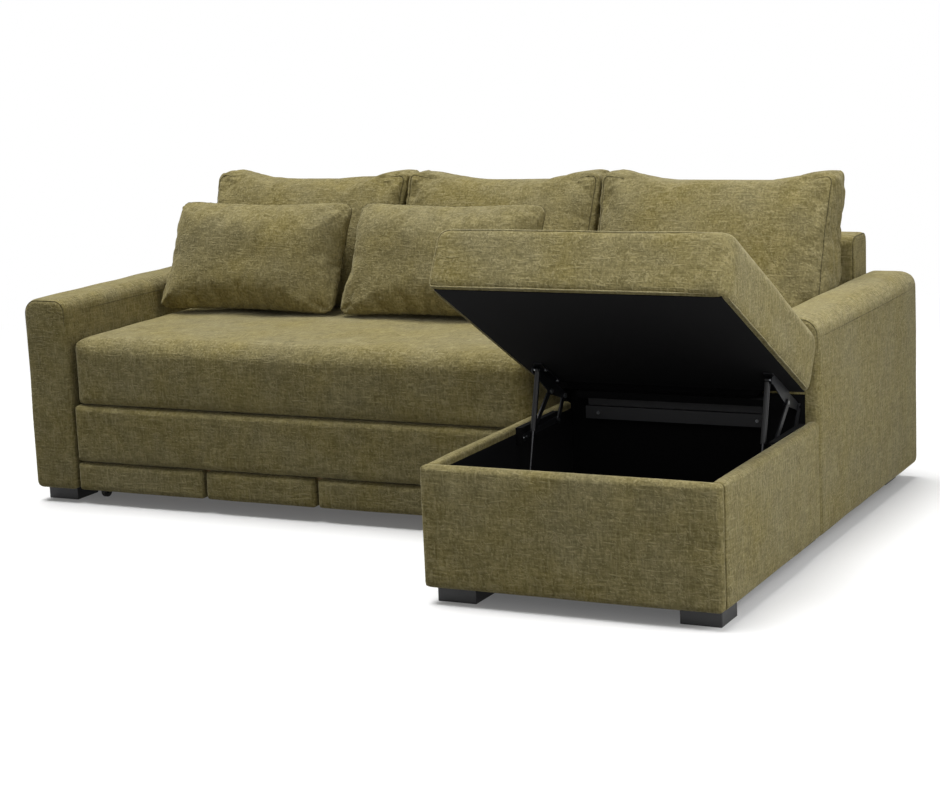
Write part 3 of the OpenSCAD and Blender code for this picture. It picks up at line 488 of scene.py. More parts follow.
def piping(name, parts, body, material):
    # Seams and cords of one cover, as one piece
    points, faces = joinParts(parts)
    piece = newPiece(name, points, faces, [material])
    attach(piece, body)


# Seams are raised tubes of this radius, laid half into the cover; their dark colour is painted shade, the
# shade of the groove along a seam
seamRadius = 0.0015
# Share of a rounding's radius by which its middle lies inside both faces
rollGive = 1 - math.sqrt(0.5)


def fading(count, share=0.2):
    # Radii of a seam that sinks into the cover at both ends: the radius times min(1, distance / share)
    t = np.linspace(0, 1, count)
    return seamRadius * np.clip(np.minimum(t, 1 - t) / share, 0.08, 1)


def laidOn(piece, path, lift=0.0):
    # Each point of a seam goes to the nearest point of the finished cover, and out along its normal by lift
    cover = BVHTree.FromObject(piece, bpy.context.evaluated_depsgraph_get())
    nearest = [cover.find_nearest(Vector(point)) for point in path]
    return np.array([place + normal * lift for place, normal, _, _ in nearest])


def wobble(points, outward, amount, size, seed):
    # Uneven padding: each point moves along its outward line by amount times the wave field
    return points + outward * (amount * waveField(points, size, seed))[:, None]


# Arms: padded blocks with a sewn front panel. Its seam shows over the front's top and sinks into the cover
# down the sides, and a seam runs back along each side below the rounded top. Where the storage box and the
# closed lid cover the right arm's front, it is black lining, with an olive border along its outer side
armStyle = {"outerRadius": 0.046, "innerRadius": 0.036, "edgeRadius": 0.015, "lowRadius": 0.016,
            "rearRadius": 0.042, "arc": 0.044, "step": 0.026, "crown": 0.004, "wobble": 0.0014,
            "wobbleSize": 0.2, "seamDrop": 0.004, "frontSeamDown": 0.060, "seamPoints": 60,
            "liningTop": 0.415, "liningBorder": 0.034, "liningDepth": 0.110, "fill": 0.9}


def makeArm(name, node, outerSide, seed, s, linedFront=False):
    low, high = (np.array(c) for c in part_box(node))
    size = high - low
    e, b = s["edgeRadius"], s["lowRadius"]
    topRight, topLeft = [s["outerRadius"] if side == outerSide else s["innerRadius"] for side in (1, -1)]
    radii = (b, b, topRight, topLeft)
    points, faces, outward = softBlock(size, radii, (0,) * 4, (0, 0, s["rearRadius"], 0), s["arc"], s["step"],
                                       [s["crown"] * k for k in (1, 1, 0.8, 1, 0, 0.5)], rolled=(1, (e, e)))
    points = wobble(points, outward, s["wobble"], s["wobbleSize"], seed) + low
    slots = None
    if linedFront:
        centres, facing = points[faces].mean(1), outward[faces].mean(1)
        slots = (((facing[:, 1] < -0.6) | (facing[:, 0] < -0.2)) & (centres[:, 2] < s["liningTop"])
                 & (centres[:, 1] < low[1] + s["liningDepth"])
                 & (centres[:, 0] < high[0] - s["liningBorder"])).astype(int)
    piece = newPiece(name, points, faces, [olive, black], slots)
    upholstered(piece, "base", node)
    give = e * rollGive
    ring = roundedRing((low[0] + give, low[2] + give), (high[0] - give, high[2] - give),
                       [r - give for r in radii], step=0.006)
    ring = ring[ring[:, 1] > high[2] - max(topLeft, topRight) - s["frontSeamDown"]]
    frontSeam = np.stack([ring[:, 0], np.full(len(ring), low[1] + give), ring[:, 1]], 1)
    parts = [tube(laidOn(piece, frontSeam), fading(len(ring), 0.3), (0, 1, 0), closed=False)]
    # The side seams lie where the rounded top meets the sides
    count = s["seamPoints"]
    run = np.linspace(low[1] + e, high[1] - s["rearRadius"], count)
    for x, r in ((low[0], topLeft), (high[0], topRight)):
        sideSeam = np.stack([np.full(count, x), run, np.full(count, high[2] - r - s["seamDrop"])], 1)
        parts.append(tube(laidOn(piece, sideSeam), fading(count) * 0.75, (1, 0, 0), closed=False))
    # The seams' dark colour is painted shade of their grooves
    piping(name + "Seams", parts, "base", seamPaintedShade)


makeArm("leftArm", "left_arm", -1, 11, armStyle)
makeArm("rightArm", "right_arm", 1, 12, armStyle, linedFront=True)

# Back frame: a long padded block behind the cushions, with a seam around each end
backStyle = {"topRadius": 0.030, "lowRadius": 0.016, "endRadius": 0.010, "arc": 0.034, "step": 0.03,
             "frontCrown": 0.002, "crown": 0.003, "wobble": 0.001, "wobbleSize": 0.3, "fill": 0.9}


def makeBackFrame(s):
    low, high = (np.array(c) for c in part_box("back_frame"))
    r, b, e = s["topRadius"], s["lowRadius"], s["endRadius"]
    points, faces, outward = softBlock(high - low, (0,) * 4, (0,) * 4, (b, b, r, r), s["arc"], s["step"],
                                       (0, 0, s["frontCrown"], s["crown"], 0, s["crown"]), rolled=(0, (e, e)))
    points = wobble(points, outward, s["wobble"], s["wobbleSize"], 21) + low
    piece = newPiece("backFrame", points, faces, [olive])
    upholstered(piece, "base", "back_frame")
    give = e * rollGive
    ring = roundedRing((low[1] + give, low[2] + give), (high[1] - give, high[2] - give),
                       [k - give for k in (b, b, r, r)])
    paths = [np.stack([np.full(len(ring), x), ring[:, 0], ring[:, 1]], 1)
             for x in (low[0] + give, high[0] - give)]
    parts = [tube(laidOn(piece, path), seamRadius, (1, 0, 0)) for path in paths]
    # The seams' dark colour is painted shade of their grooves
    piping("backFrameSeams", parts, "base", seamPaintedShade)


makeBackFrame(backStyle)
print("arms and back made")

# Seat cushions: thick foam under a soft top layer, rounded at the front, with shallow puckers in the cover
seatStyle = {"topRadius": 0.050, "lowRadius": 0.022, "cornerRadius": 0.046, "arc": 0.055, "step": 0.016,
             "rearLowRadius": 0.004, "crown": 0.011, "frontCrown": 0.006, "endGap": 0.006, "puckers": 26,
             "puckerArea": ((0.06, 0.05), (0.94, 0.9)), "puckerDepth": 0.0035, "puckerSize": 0.017,
             "puckerLong": 2.2, "puckerWide": 0.8, "wobble": 0.0028, "wobbleSize": 0.24, "fill": 0.85}


def makeSeat(name, node, seed, s, darkFront=False):
    low, high = (np.array(c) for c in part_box(node))
    low[0] += s["endGap"]
    high[0] -= s["endGap"]
    size = high - low - np.array([0, 0, s["crown"] + 0.001])
    r, b, c = s["topRadius"], s["lowRadius"], s["cornerRadius"]
    points, faces, outward = softBlock(size, (b, b, r, r), (c, c, c, c), (b, s["rearLowRadius"], r * 0.6, r),
                                       s["arc"], s["step"], (0, 0, 0, 0, 0, s["crown"]), 4)
    unit = points / size * 2 - 1
    # The front face swells forwards between its corners, and the cover sinks at small random puckers
    front = np.clip(-outward[:, 1], 0, 1)
    points[:, 1] += s["frontCrown"] * front * (1 - bulge(unit[:, 0], unit[:, 2], 2.5))
    random = np.random.default_rng(seed)
    top = outward[:, 2] > 0.6
    spots = random.uniform(*s["puckerArea"], (s["puckers"], 2)) * size[:2]
    turns = random.uniform(0, math.pi, s["puckers"])
    for (x, y), turn in zip(spots, turns):
        along = (points[:, 0] - x) * math.cos(turn) + (points[:, 1] - y) * math.sin(turn)
        across = (points[:, 1] - y) * math.cos(turn) - (points[:, 0] - x) * math.sin(turn)
        sink = np.exp(-(along / (s["puckerLong"] * s["puckerSize"])) ** 2
                      - (across / (s["puckerWide"] * s["puckerSize"])) ** 2)
        points[:, 2] -= np.where(top, s["puckerDepth"] * sink, 0)
    points = wobble(points, outward * np.clip(outward[:, 2:] + 0.4, 0, 1), s["wobble"], s["wobbleSize"], seed)
    slots = None
    if darkFront:
        centres, facing = points[faces].mean(1), outward[faces].mean(1)
        slots = ((facing[:, 1] < -0.2) & (centres[:, 2] < size[2] - r * 0.75)).astype(int)
    piece = newPiece(name, points + low, faces, [olive, black], slots)
    upholstered(piece, "base", node)


makeSeat("longSeat", "seat_cushion", 31, seatStyle)
makeSeat("cornerSeat", "corner_seat_cushion", 32, seatStyle, darkFront=True)

# Padded panels of the bed's front and plinth: thin foam over board, rounded at the front edges
panelStyle = {"panelRadius": 0.018, "plinthRadius": 0.013, "rearRadius": 0.001, "arc": 0.019, "step": 0.02,
              "crown": 0.0035, "endGap": 0.0030, "wobble": 0.0009, "wobbleSize": 0.14, "fill": 0.9}


def makePanel(name, node, r, seed, s):
    low, high = (np.array(c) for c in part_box(node))
    low[0] += s["endGap"]
    high[0] -= s["endGap"]
    rear = s["rearRadius"]
    points, faces, outward = softBlock(high - low, (r, r, r, r), (r, r, rear, rear), (r, rear, rear, r),
                                       s["arc"], s["step"], (0, 0, s["crown"], 0, 0, 0), 6)
    points[:, 1] += s["crown"]
    points = wobble(points, outward, s["wobble"], s["wobbleSize"], seed) + low
    points[:, 1] = np.minimum(points[:, 1], high[1])
    upholstered(newPiece(name, points, faces, [olive]), "bed", node)


makePanel("bedFrontPanel", "bed_front_panel", panelStyle["panelRadius"], 41, panelStyle)
for index, part in enumerate(("first", "second", "third", "last")):
    makePanel("plinth" + part.capitalize(), "bed_plinth_" + part, panelStyle["plinthRadius"], 42 + index,
              panelStyle)
print("seats and panels made")

# Storage box: padded outside, with the cover folded over the rim and black lining inside
boxStyle = {"outerRadius": 0.014, "innerRadius": 0.009, "lowRadius": 0.016, "cornerRadius": 0.012,
            "rearRadius": 0.008, "sideArc": 0.0148, "frontArc": 0.0145, "step": 0.022, "crown": 0.004,
            "topCrown": 0.001, "swell": 0.004, "swellEnd": -0.215, "swellRun": 0.05, "coverDown": 0.006,
            "wobble": 0.0010, "wobbleSize": 0.2, "fill": 0.9}


def makeBoxWall(name, node, front, plan, side, arc, crowns, inward, seed, s):
    low, high = (np.array(c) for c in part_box(node))
    points, faces, outward = softBlock(high - low, front, plan, side, arc, s["step"],
                                       (*crowns, 0, 0, s["topCrown"]), 5)
    outer = outward * (outward @ np.array(inward, float) < 0.3)[:, None]
    points = wobble(points, outer, s["wobble"], s["wobbleSize"], seed) + low
    # The padding of the sides stands out by the swell, and fades before it meets the bed's panel
    points[:, 0] += s["swell"] * outer[:, 0] * np.clip((s["swellEnd"] - points[:, 1]) / s["swellRun"], 0, 1)
    centres, facing = points[faces].mean(1), outward[faces].mean(1)
    liningTop = high[2] - s["innerRadius"] - s["coverDown"]
    inside = (facing @ np.array(inward, float) > 0.7) & (centres[:, 2] < liningTop)
    piece = newPiece(name, points, faces, [olive, black], inside.astype(int))
    upholstered(piece, "base", node)


def makeBox(s):
    # Radii run lower left, lower right, upper right, upper left in each view, and crowns -X, +X, -Y
    o, i, b, c = (s[k] for k in ("outerRadius", "innerRadius", "lowRadius", "cornerRadius"))
    makeBoxWall("boxFront", "box_front", (b, b, o, o), (c, c, 0, 0), (b, 0, i, o), s["frontArc"],
                (0, 0, s["crown"]), (0, 1, 0), 51, s)
    makeBoxWall("boxLeftSide", "box_left_side", (b, 0, i, o), (0, 0, 0, 0), (0, 0, 0, 0), s["sideArc"],
                (s["crown"] * 0.5, 0, 0), (1, 0, 0), 52, s)
    makeBoxWall("boxRightSide", "box_right_side", (0, b, o, i), (0, 0, s["rearRadius"], 0), (0, 0, 0, 0),
                s["sideArc"], (0, s["crown"], 0), (-1, 0, 0), 53, s)


makeBox(boxStyle)

# Lid: a thick cushion on a board, drawn closed and then turned about the lift's swing centre to where it
# stands open. Piping follows the outline of its front except on the right, and the lower edges of its sides
lidStyle = {"swingY": 0.0101, "swingZ": 0.4202, "open": 29.0, "x": (0.441, 1.200), "y": (-0.835, -0.135),
            "z": (0.346, 0.509), "edgeRadius": 0.026, "endRadius": 0.036, "rearRadius": 0.088,
            "lowRadius": 0.009, "leftRadius": 0.012, "rightRadius": 0.032, "arc": 0.09, "step": 0.022,
            "crown": 0.004, "underInset": 0.002, "wobble": 0.0016, "wobbleSize": 0.18, "fill": 0.9,
            "pipingRadius": 0.0021, "pipingLift": 0.0008, "pipingPoints": 40}


def openLid(points, s):
    # Turn by -open about X around the swing centre: y' = cy + y cos a - z sin a, z' = cz + y sin a + z cos a
    a = math.radians(-s["open"])
    y, z = points[:, 1] - s["swingY"], points[:, 2] - s["swingZ"]
    return np.stack([points[:, 0], s["swingY"] + y * math.cos(a) - z * math.sin(a),
                     s["swingZ"] + y * math.sin(a) + z * math.cos(a)], 1)


def makeLid(s):
    low = np.array([s["x"][0], s["y"][0], s["z"][0]])
    size = np.array([s["x"][1], s["y"][1], s["z"][1]]) - low
    e, end, rear, b = s["edgeRadius"], s["endRadius"], s["rearRadius"], s["lowRadius"]
    left, right = s["leftRadius"], s["rightRadius"]
    points, faces, outward = softBlock(size, (b, b, end, end), (left, right, right, left), (b, b, rear, e),
                                       s["arc"], s["step"], (0, 0, 0, 0, -s["underInset"], 0), 12)
    unit = points / size * 2 - 1
    top = np.clip(outward[:, 2], 0, 1) ** 2
    points[:, 2] += s["crown"] * top * (bulge(unit[:, 0], unit[:, 1], 3) - 0.6)
    points = wobble(points, outward * np.clip(outward[:, 2:] + 0.9, 0, 1), s["wobble"], s["wobbleSize"], 61)
    centres, facing = points[faces].mean(1), outward[faces].mean(1)
    under = (facing[:, 2] < -0.9) & (centres[:, 2] < b * 0.5)
    piece = newPiece("lidCushion", openLid(points + low, s), faces, [olive, black], under.astype(int))
    upholstered(piece, "lid", "lid_cushion")
    # The front's outline runs from the right end of its top over the left side to the right end below
    high = low + size
    turn, foot = left * rollGive, b * rollGive
    ring = roundedRing((low[0] + turn, low[2] + foot), (high[0] - turn, high[2] - e * rollGive),
                       (b, b, end - turn, end - turn))
    start = np.nonzero(ring[:, 0] > high[0] - right - 0.02)[0]
    ring = np.roll(ring, -(start[-1] + 1), 0)[:len(ring) - len(start)]
    paths = [(np.stack([ring[:, 0], np.full(len(ring), low[1] + turn), ring[:, 1]], 1), (0, 1, 0))]
    count = s["pipingPoints"]
    run = np.linspace(low[1] + right, high[1] - 0.02, count)
    for x in (low[0] + foot, high[0] - foot):
        paths.append((np.stack([np.full(count, x), run, np.full(count, low[2] + foot)], 1), (1, 0, 0)))
    parts = []
    for path, hint in paths:
        radii = fading(len(path), 0.05) * s["pipingRadius"] / seamRadius
        parts.append(tube(laidOn(piece, openLid(path, s), s["pipingLift"]), radii, hint, closed=False))
    # The piping's lighter tint is painted sheen along the lid's edges
    piping("lidPiping", parts, "lid", oliveCordPaintedSheen)


makeLid(lidStyle)
print("storage box and lid made")

# Mattress of the pull-out bed: a foam block in ticking with a piped edge and a quilted top
mattressStyle = {"radius": 0.018, "step": 0.02, "quilt": 0.14, "quiltDepth": 0.004, "quiltWidth": 0.012,
                 "pipingRadius": 0.003, "fill": 0.95}


def makeMattress(s):
    low, high = (np.array(c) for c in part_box("bed_mattress"))
    r = s["radius"]
    points, faces, outward = softBlock(high - low, (r,) * 4, (r,) * 4, (r,) * 4, r, s["step"])
    # Quilting sinks the top along two diagonal sets of lines: depth exp(-(d / width) ** 2) at the nearer line
    a = (points[:, 0] + points[:, 1]) / s["quilt"]
    c = (points[:, 0] - points[:, 1]) / s["quilt"]
    gap = np.minimum(np.abs(a - np.round(a)), np.abs(c - np.round(c))) * s["quilt"]
    points[:, 2] -= s["quiltDepth"] * np.exp(-(gap / s["quiltWidth"]) ** 2) * np.clip(outward[:, 2], 0, 1)
    piece = newPiece("mattress", points + low, faces, [mattressCloth])
    upholstered(piece, "bed", "bed_mattress")
    give = r * rollGive
    ring = roundedRing(low[:2] + give, high[:2] - give, (r,) * 4)
    parts = [tube(np.column_stack([ring, np.full(len(ring), z)]), s["pipingRadius"], (0, 0, 1))
             for z in (low[2] + give, high[2] - give)]
    piping("mattressPiping", parts, "bed", mattressCloth)


makeMattress(mattressStyle)

# Loose cushions. Each is shaped in its own frame (X across, Y up its face, Z out of its front), inflated as
# cloth between its sewn edges, creased, and only then stood in its place
clothStyle = {"voxel": 0.008, "frames": 20, "quality": 4, "mass": 0.25, "airDamping": 2.0, "pressure": 3.5,
              "stiffness": 12.0, "shearShare": 0.6, "bending": 0.3, "grow": -0.045, "pinReach": 0.007}
creaseStyle = {"earDepth": 0.0052, "earDepths": (0.6, 1.2), "earReach": 0.080, "earReaches": (0.75, 1.35),
               "earFolds": 6.5, "earTwist": 9, "puckerDepth": 0.0042, "puckerPitch": 0.038,
               "puckerReach": 0.036, "puckerStart": 0.008, "warp": 0.012, "warpSize": 0.10,
               "groupSize": 0.22, "groupShare": 0.35, "sagDepth": 0.0040, "sagSize": 0.16,
               "gussetDepth": 0.0030, "gussetPitch": 0.050, "gussetStretch": 1.2, "gussetWarp": 0.014,
               "gussetWarpSize": 0.12, "gussetGroupSize": 0.2, "gussetShare": 0.4, "grooveSize": 0.007}


def startCloth(piece, pinWeights, s):
    group = piece.vertex_groups.new(name="sewn")
    levels = np.round(np.clip(pinWeights, 0, 1) * 8).astype(int)
    for level in range(1, 9):
        members = np.nonzero(levels == level)[0]
        if len(members):
            group.add(members.tolist(), level / 8, "REPLACE")
    cloth = piece.modifiers.new("cloth", "CLOTH")
    cloth.settings.quality = s["quality"]
    cloth.settings.mass = s["mass"]
    cloth.settings.air_damping = s["airDamping"]
    cloth.settings.tension_stiffness = cloth.settings.compression_stiffness = s["stiffness"]
    cloth.settings.shear_stiffness = s["stiffness"] * s["shearShare"]
    cloth.settings.bending_stiffness = s["bending"]
    cloth.settings.use_pressure = True
    cloth.settings.uniform_pressure_force = s["pressure"]
    cloth.settings.shrink_min = s["grow"]
    cloth.settings.vertex_group_mass = "sewn"
    cloth.settings.effector_weights.gravity = 0
    cloth.collision_settings.use_collision = False
    cloth.point_cache.frame_start = 1
    cloth.point_cache.frame_end = s["frames"]


def meshPoints(mesh, kind="co"):
    points = np.empty(len(mesh.vertices) * 3, np.float32)
    mesh.vertices.foreach_get(kind, points)
    return points.reshape(-1, 3).astype(float)


def remesh(piece, voxel):
    modifier = piece.modifiers.new("remesh", "REMESH")
    modifier.mode = "VOXEL"
    modifier.voxel_size = voxel
    modifier.use_smooth_shade = True
    evaluated = piece.evaluated_get(bpy.context.evaluated_depsgraph_get())
    mesh = bpy.data.meshes.new_from_object(evaluated)
    piece.modifiers.remove(modifier)
    piece.data = mesh


def setPoints(piece, points):
    piece.data.vertices.foreach_set("co", np.ascontiguousarray(points, np.float32).ravel())
    piece.data.update()


# Scatter cushions: two panels sewn together at a knife edge, with ears at the corners
scatterStyle = {"width": 0.6255, "height": 0.350, "front": 0.084, "rear": 0.045, "pull": 0.012,
                "lean": 16.0, "power": 3.2, "round": 0.50, "corner": 14, "stations": 71, "offset": 0.016,
                "shear": 0.013, "taper": 0.004, "skirt": 0.036, "foot": 0.310, "sink": 0.007, "middleY": 0.0,
                "cap": 0.016, "groove": 0.0, "fill": 0.7}
# Back cushions: two panels and a gusset between them, thinner towards the top, leaning on the frame
backCushionStyle = {"height": 0.408, "thick": 0.210, "taper": 0.47, "slope": 0.1625, "edgeRadius": 0.026,
                    "earRadius": 0.030, "arc": 0.04, "step": 0.02, "frontCrown": 0.038, "rearCrown": 0.052,
                    "topDroop": 0.022, "sidePull": 0.006, "base": 0.61275, "seamEnd": 0.10,
                    "middleY": 0.204, "cap": 0.013, "groove": 0.003, "fill": 0.75}
# Height of the seat below the loose cushions, which press into it by the dent and are flat below
cushionFoot = 0.5093
seatDent = 0.007


def scatterOutline(u, v, s):
    # Square (u, v) from -1 to 1 drawn in between its corners by pull (1 - other ** 2). It leans to the right
    # by the shear, and the taper makes its top narrower
    half = s["width"] / 2 - s["taper"] * (1 + v) / 2
    x = u * (half - s["pull"] * (1 - v ** 2)) + s["offset"] + s["shear"] * v
    y = v * (s["height"] / 2 - s["pull"] * (1 - u ** 2))
    return x, y


def scatterShape(s):
    # Both faces: z = swell times bulge(u, v) to a rounding power, over a grid that is denser at the edges
    stations = np.sin(np.linspace(-math.pi / 2, math.pi / 2, s["stations"]))
    u, v = np.meshgrid(stations, stations, indexing="ij")
    # Corners are rounded by moving points of the square towards a superellipse
    n = s["corner"]
    squeeze = (np.abs(u) ** n + np.abs(v) ** n + 1e-12) ** (1 / n)
    reach = np.maximum(np.abs(u), np.abs(v))
    scale = np.where(reach > 0, reach / squeeze, 1)
    x, y = scatterOutline(u * scale, v * scale, s)
    height = bulge(u, v, s["power"]) ** s["round"]
    frontFace = np.stack([x, y, s["front"] * height], -1).reshape(-1, 3)
    rearFace = np.stack([x, y, -s["rear"] * height], -1).reshape(-1, 3)
    index = np.arange(u.size).reshape(u.shape)
    quads = gridQuads(index)
    edge = np.concatenate([index[:, 0], index[-1, 1:], index[-2::-1, -1], index[0, -2:0:-1]])
    return (*merged(np.concatenate([frontFace, rearFace]), np.concatenate([quads, quads[:, ::-1] + u.size])),
            frontFace[edge])


def scatterPlace(points, centreX, s):
    # The filling settles: the lower half slides forwards by skirt v ** 2, so the sewn edge rests in front.
    # The cushion then stands at its foot, tipped back by the lean
    a = math.radians(90 - s["lean"])
    y = points[:, 1] + s["height"] / 2
    z = points[:, 2] + s["skirt"] * np.clip(-points[:, 1] / (s["height"] / 2), 0, 1) ** 2
    return np.stack([points[:, 0] + centreX, s["foot"] + y * math.cos(a) - z * math.sin(a),
                     cushionFoot - s["sink"] + y * math.sin(a) + z * math.cos(a)], 1)


def backCushionMap(points, width, s):
    # Block (x, y, z) to cushion: taper (1 - taper y / h), crowns by bulge, top drooping between the ears
    x, y, z = points.T
    h, t = s["height"], s["thick"]
    u, v, w = x / width * 2 - 1, y / h * 2 - 1, np.clip(z / t, 0, 1)
    swell = bulge(u, v, 2.2) * (s["frontCrown"] * w - s["rearCrown"] * (1 - w))
    up = z * (1 - s["taper"] * y / h) + swell - s["slope"] * y
    newX = x - width / 2 - np.sign(u) * s["sidePull"] * np.abs(u) ** 3 * (1 - v ** 2)
    newY = y - s["topDroop"] * np.clip(1 - u ** 4, 0, 1) * np.clip(v, 0, 1) ** 2
    return np.stack([newX, newY, up], 1)


def backCushionPlace(points, centreX, s):
    return np.stack([points[:, 0] + centreX, s["base"] - points[:, 2], cushionFoot + points[:, 1]], 1)


def backCushionShape(width, s):
    h, t, r, ear = s["height"], s["thick"], s["edgeRadius"], s["earRadius"]
    points, faces, _ = softBlock((width, h, t), (r,) * 4, (ear,) * 4, (r,) * 4, s["arc"], s["step"])
    # The seams show up both sides and over the ears, and sink into the top
    give = r * rollGive
    ring = roundedRing((give, give), (width - give, h - give), (ear - give * 0.5,) * 4, step=0.01)
    rightSide = ring[ring[:, 0] > width - s["seamEnd"]]
    leftSide = rightSide * (-1, 1) + (width, 0)
    seams = [backCushionMap(np.column_stack([side, np.full(len(side), z)]), width, s)
             for z in (t - give, give) for side in (leftSide, rightSide)]
    return backCushionMap(points, width, s), faces, seams


def nearSeam(points, seams, size):
    # Weight 1 on a seam, falling as exp(-(distance / size) ** 2)
    nearest = np.full(len(points), np.inf)
    for seam in seams:
        for chunk in np.array_split(seam, max(1, len(seam) // 40)):
            gap = np.linalg.norm(points[:, None] - chunk[None], axis=2).min(1)
            nearest = np.minimum(nearest, gap)
    return np.exp(-(nearest / size) ** 2)


def creased(points, normals, width, style, seamShare, seed, s):
    # Folds of the cover along its normals. Fans run out of the four ears with the depth
    # sin(n a) (r / R) ** 2 exp(2 - 2 r / R). Puckers stand square to the edges with the depth
    # sin(2 pi t / pitch) exp(-d / reach) (1 - exp(-d / start)). On the gusset the folds run across it, and
    # the cover sinks at the seams by the groove
    random = np.random.default_rng(seed)
    height = style["height"]
    x, y = points[:, 0], points[:, 1] - style["middleY"]
    depth = s["sagDepth"] * waveField(points, s["sagSize"], seed)
    for sideX, sideY in ((-1, -1), (1, -1), (1, 1), (-1, 1)):
        dx, dy = width / 2 - sideX * x, height / 2 - sideY * y
        radius, angle = np.hypot(dx, dy), np.arctan2(dy, dx)
        reach = s["earReach"] * random.uniform(*s["earReaches"])
        fan = np.sin(s["earFolds"] * angle + random.uniform(0, 6.3)
                     + random.uniform(-s["earTwist"], s["earTwist"]) * radius)
        fan *= (radius / reach) ** 2 * np.exp(2 - 2 * radius / reach)
        depth += s["earDepth"] * random.uniform(*s["earDepths"]) * fan
    for number, (gap, run) in enumerate(((width / 2 - np.abs(x), y), (height / 2 - np.abs(y), x))):
        gap = np.maximum(gap, 0)
        warp = s["warp"] * waveField(points, s["warpSize"], seed + 7 + number)
        groups = np.clip(waveField(points, s["groupSize"], seed + 9 + number) + s["groupShare"], 0, 1)
        ripple = np.sin(2 * math.pi * (run + warp) / s["puckerPitch"])
        depth += (s["puckerDepth"] * groups * ripple * np.exp(-gap / s["puckerReach"])
                  * (1 - np.exp(-gap / s["puckerStart"])))
    warp = s["gussetWarp"] * waveField(points, s["gussetWarpSize"], seed + 12)
    groups = np.clip(waveField(points, s["gussetGroupSize"], seed + 13) + s["gussetShare"], 0, 1)
    across = np.sin(2 * math.pi * (points[:, 2] * s["gussetStretch"] + warp) / s["gussetPitch"])
    gusset = s["gussetDepth"] * across * groups
    flat, end = normals[:, 2] ** 2, normals[:, 0] ** 2
    shift = depth * flat + gusset * end * (1 - seamShare) - style["groove"] * seamShare
    return points + normals * shift[:, None]


def carried(path, before, after, size=0.012):
    # A seam moves with the cover: its shift is the near points' mean shift, weighted by exp(-(d / size) ** 2)
    pieces = []
    for chunk in np.array_split(path, max(1, len(path) // 40)):
        weight = np.exp(-(np.linalg.norm(chunk[:, None] - before[None], axis=2) / size) ** 2) + 1e-12
        pieces.append(chunk + (weight @ (after - before)) / weight.sum(1)[:, None])
    return np.concatenate(pieces)


cushions = []
for name, node in (("scatterCushionLeft", "scatter_cushion_left"),
                   ("scatterCushionRight", "scatter_cushion_right"),
                   ("backCushionLeft", "back_cushion_left"), ("backCushionMiddle", "back_cushion_middle"),
                   ("backCushionRight", "back_cushion_right")):
    low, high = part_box(node)
    if name.startswith("scatter"):
        style, place, width = scatterStyle, scatterPlace, scatterStyle["width"]
        points, faces, edge = scatterShape(style)
        seams = [edge]
    else:
        style, place, width = backCushionStyle, backCushionPlace, high.x - low.x
        points, faces, seams = backCushionShape(width, style)
    piece = newPiece(name, points, faces, [olive])
    remesh(piece, clothStyle["voxel"])
    points = meshPoints(piece.data)
    startCloth(piece, nearSeam(points, seams, clothStyle["pinReach"]), clothStyle)
    cushions.append({"piece": piece, "node": node, "rest": points, "seams": seams, "style": style,
                     "width": width, "place": place, "centreX": (low.x + high.x) / 2})

scene = bpy.context.scene
scene.frame_start, scene.frame_end = 1, clothStyle["frames"]
for number in range(1, clothStyle["frames"] + 1):
    scene.frame_set(number)
depsgraph = bpy.context.evaluated_depsgraph_get()
for cushion in cushions:
    piece, rest = cushion["piece"], cushion["rest"]
    swollen = meshPoints(piece.evaluated_get(depsgraph).data)
    move = swollen - rest
    length = np.linalg.norm(move, axis=1)
    # No point moves further than the cap: the move keeps its direction and is cap tanh(length / cap) long
    cap = cushion["style"]["cap"]
    move *= (cap * np.tanh(length / cap) / np.maximum(length, 1e-9))[:, None]
    print(piece.name, "cloth moved", round(float(length.mean()) * 1000, 1), "mm on average,",
          round(float(length.max()) * 1000, 1), "mm at most, before the cap")
    piece.modifiers.clear()
    setPoints(piece, rest + move)
scene.frame_set(1)
print("cushions inflated")

for number, cushion in enumerate(cushions):
    piece, style = cushion["piece"], cushion["style"]
    inflated = meshPoints(piece.data)
    sewn = nearSeam(inflated, cushion["seams"], creaseStyle["grooveSize"])
    folded = creased(inflated, meshPoints(piece.data, "normal"), cushion["width"], style, sewn,
                     71 + number * 5, creaseStyle)
    placed = cushion["place"](folded, cushion["centreX"], style)
    placed[:, 2] = np.maximum(placed[:, 2], cushionFoot - seatDent)
    setPoints(piece, placed)
    piece.vertex_groups.clear()
    upholstered(piece, "base", cushion["node"])
    # A scatter cushion has one seam all round, and a back cushion's seams are open
    ring = len(cushion["seams"]) == 1
    parts = []
    for seam in cushion["seams"]:
        radii = seamRadius * 0.8 if ring else fading(len(seam), 0.12)
        path = cushion["place"](carried(seam, cushion["rest"], folded), cushion["centreX"], style)
        parts.append(tube(laidOn(piece, path), radii, (0.1, -1, 0.1), closed=ring))
    # The seams' dark colour is painted shade of their grooves
    piping(piece.name + "Seams", parts, "base", seamPaintedShade)
print("cushions placed")

# Floor and light: a white studio sweep. To the camera the floor is white with a faint glow of its own, keeps
# its shadows near the sofa and turns into plain white further off. To other rays it is grey, so that it
# lights little from below. A sun has its direction, its angle in degrees and its strength, and a panel its
# place, its target, its side in metres and its power in watts
studio = {"floorSize": 60.0, "floorSeen": 0.93, "floorBounce": 0.20, "floorGlow": 0.10, "fadeFrom": 2.2,
          "fadeTo": 4.4, "worldLight": 0.12,
          "suns": (("overheadSoftbox", (-0.20, -0.02, 1.0), 38.0, 3.1),
                   ("rearSoftbox", (0.10, 0.75, 0.62), 60.0, 0.4)),
          "panels": (("chaiseFill", (1.6, -3.4, 1.3), (0.7, -0.8, 0.3), 1.2, 8.0),
                     ("rightSoftbox", (3.0, -0.9, 1.5), (1.2, -0.2, 0.3), 1.6, 33.0),
                     ("leftOverhead", (-1.6, -0.5, 3.0), (-0.6, 0.3, 0.5), 1.4, 9.0))}


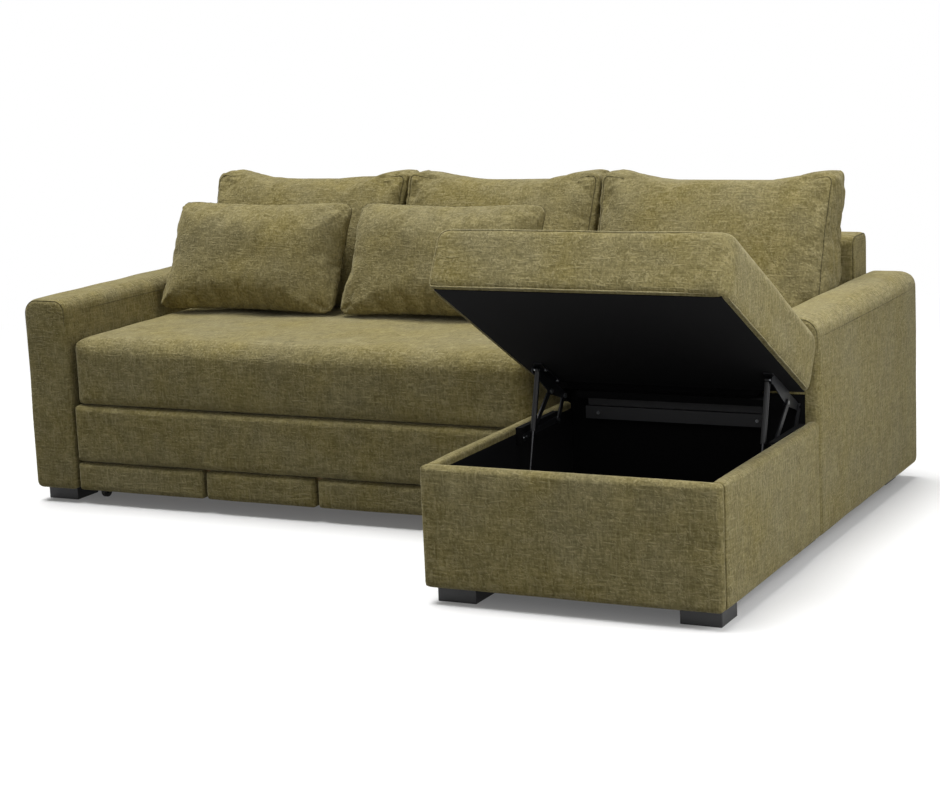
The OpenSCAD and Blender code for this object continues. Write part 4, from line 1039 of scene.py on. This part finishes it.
def seenByCamera(material):
    # 1 for camera, glossy and transmission rays, and 0 for the others
    rays = material.node_tree.nodes.new("ShaderNodeLightPath").outputs
    seen = rays["Is Camera Ray"]
    for kind in ("Is Glossy Ray", "Is Transmission Ray"):
        seen = addNode(material, "ShaderNodeMath", {0: seen, 1: rays[kind]}, operation="MAXIMUM")
    return seen


def makeStudio(s):
    material = newMaterial("studioFloor")
    seen = seenByCamera(material)
    colour = addNode(material, "ShaderNodeMixRGB", {"Fac": seen},
                     {"Color1": (s["floorBounce"],) * 3 + (1,), "Color2": (s["floorSeen"],) * 3 + (1,)})
    diffuse = addNode(material, "ShaderNodeBsdfDiffuse", {"Color": colour})
    # The spherical gradient falls as 1 - r / fadeTo
    near = addNode(material, "ShaderNodeTexGradient",
                   {"Vector": objectPoint(material, (1 / s["fadeTo"],) * 3)}, gradient_type="SPHERICAL")
    far = addNode(material, "ShaderNodeMapRange", {"Value": near},
                  {"From Max": 1 - s["fadeFrom"] / s["fadeTo"], "To Min": 1.0, "To Max": s["floorGlow"]},
                  interpolation_type="SMOOTHSTEP")
    share = addNode(material, "ShaderNodeMath", {0: far, 1: seen}, operation="MULTIPLY")
    white = addNode(material, "ShaderNodeEmission")
    surface = addNode(material, "ShaderNodeMixShader", {0: share, 1: diffuse, 2: white})
    addNode(material, "ShaderNodeOutputMaterial", {"Surface": surface})
    half = s["floorSize"] / 2
    corners = np.array([[-half, -half, 0], [half, -half, 0], [half, half, 0], [-half, half, 0]])
    newPiece("studioFloor", corners, np.array([[0, 1, 2, 3]]), [material])

    world = bpy.data.worlds.new("studioWorld")
    bpy.context.scene.world = world
    world.use_nodes = True
    world.node_tree.nodes.clear()
    strength = addNode(world, "ShaderNodeMapRange", {"Value": seenByCamera(world)},
                       {"To Min": s["worldLight"], "To Max": 1.0})
    background = addNode(world, "ShaderNodeBackground", {"Strength": strength}, {"Color": (1, 1, 1, 1)})
    addNode(world, "ShaderNodeOutputWorld", {"Surface": background})

    for name, towards, angle, strength in s["suns"]:
        lamp = makeLamp(name, "SUN", strength, -Vector(towards))
        lamp.data.angle = math.radians(angle)
    for name, place, target, size, power in s["panels"]:
        lamp = makeLamp(name, "AREA", power, Vector(target) - Vector(place))
        lamp.data.shape, lamp.data.size = "SQUARE", size
        lamp.location = place


def makeLamp(name, kind, strength, forward):
    data = bpy.data.lights.new(name, kind)
    data.energy = strength
    lamp = bpy.data.objects.new(name, data)
    bpy.context.scene.collection.objects.link(lamp)
    lamp.rotation_euler = forward.to_track_quat("-Z", "Y").to_euler()
    return lamp


makeStudio(studio)
print("studio made")
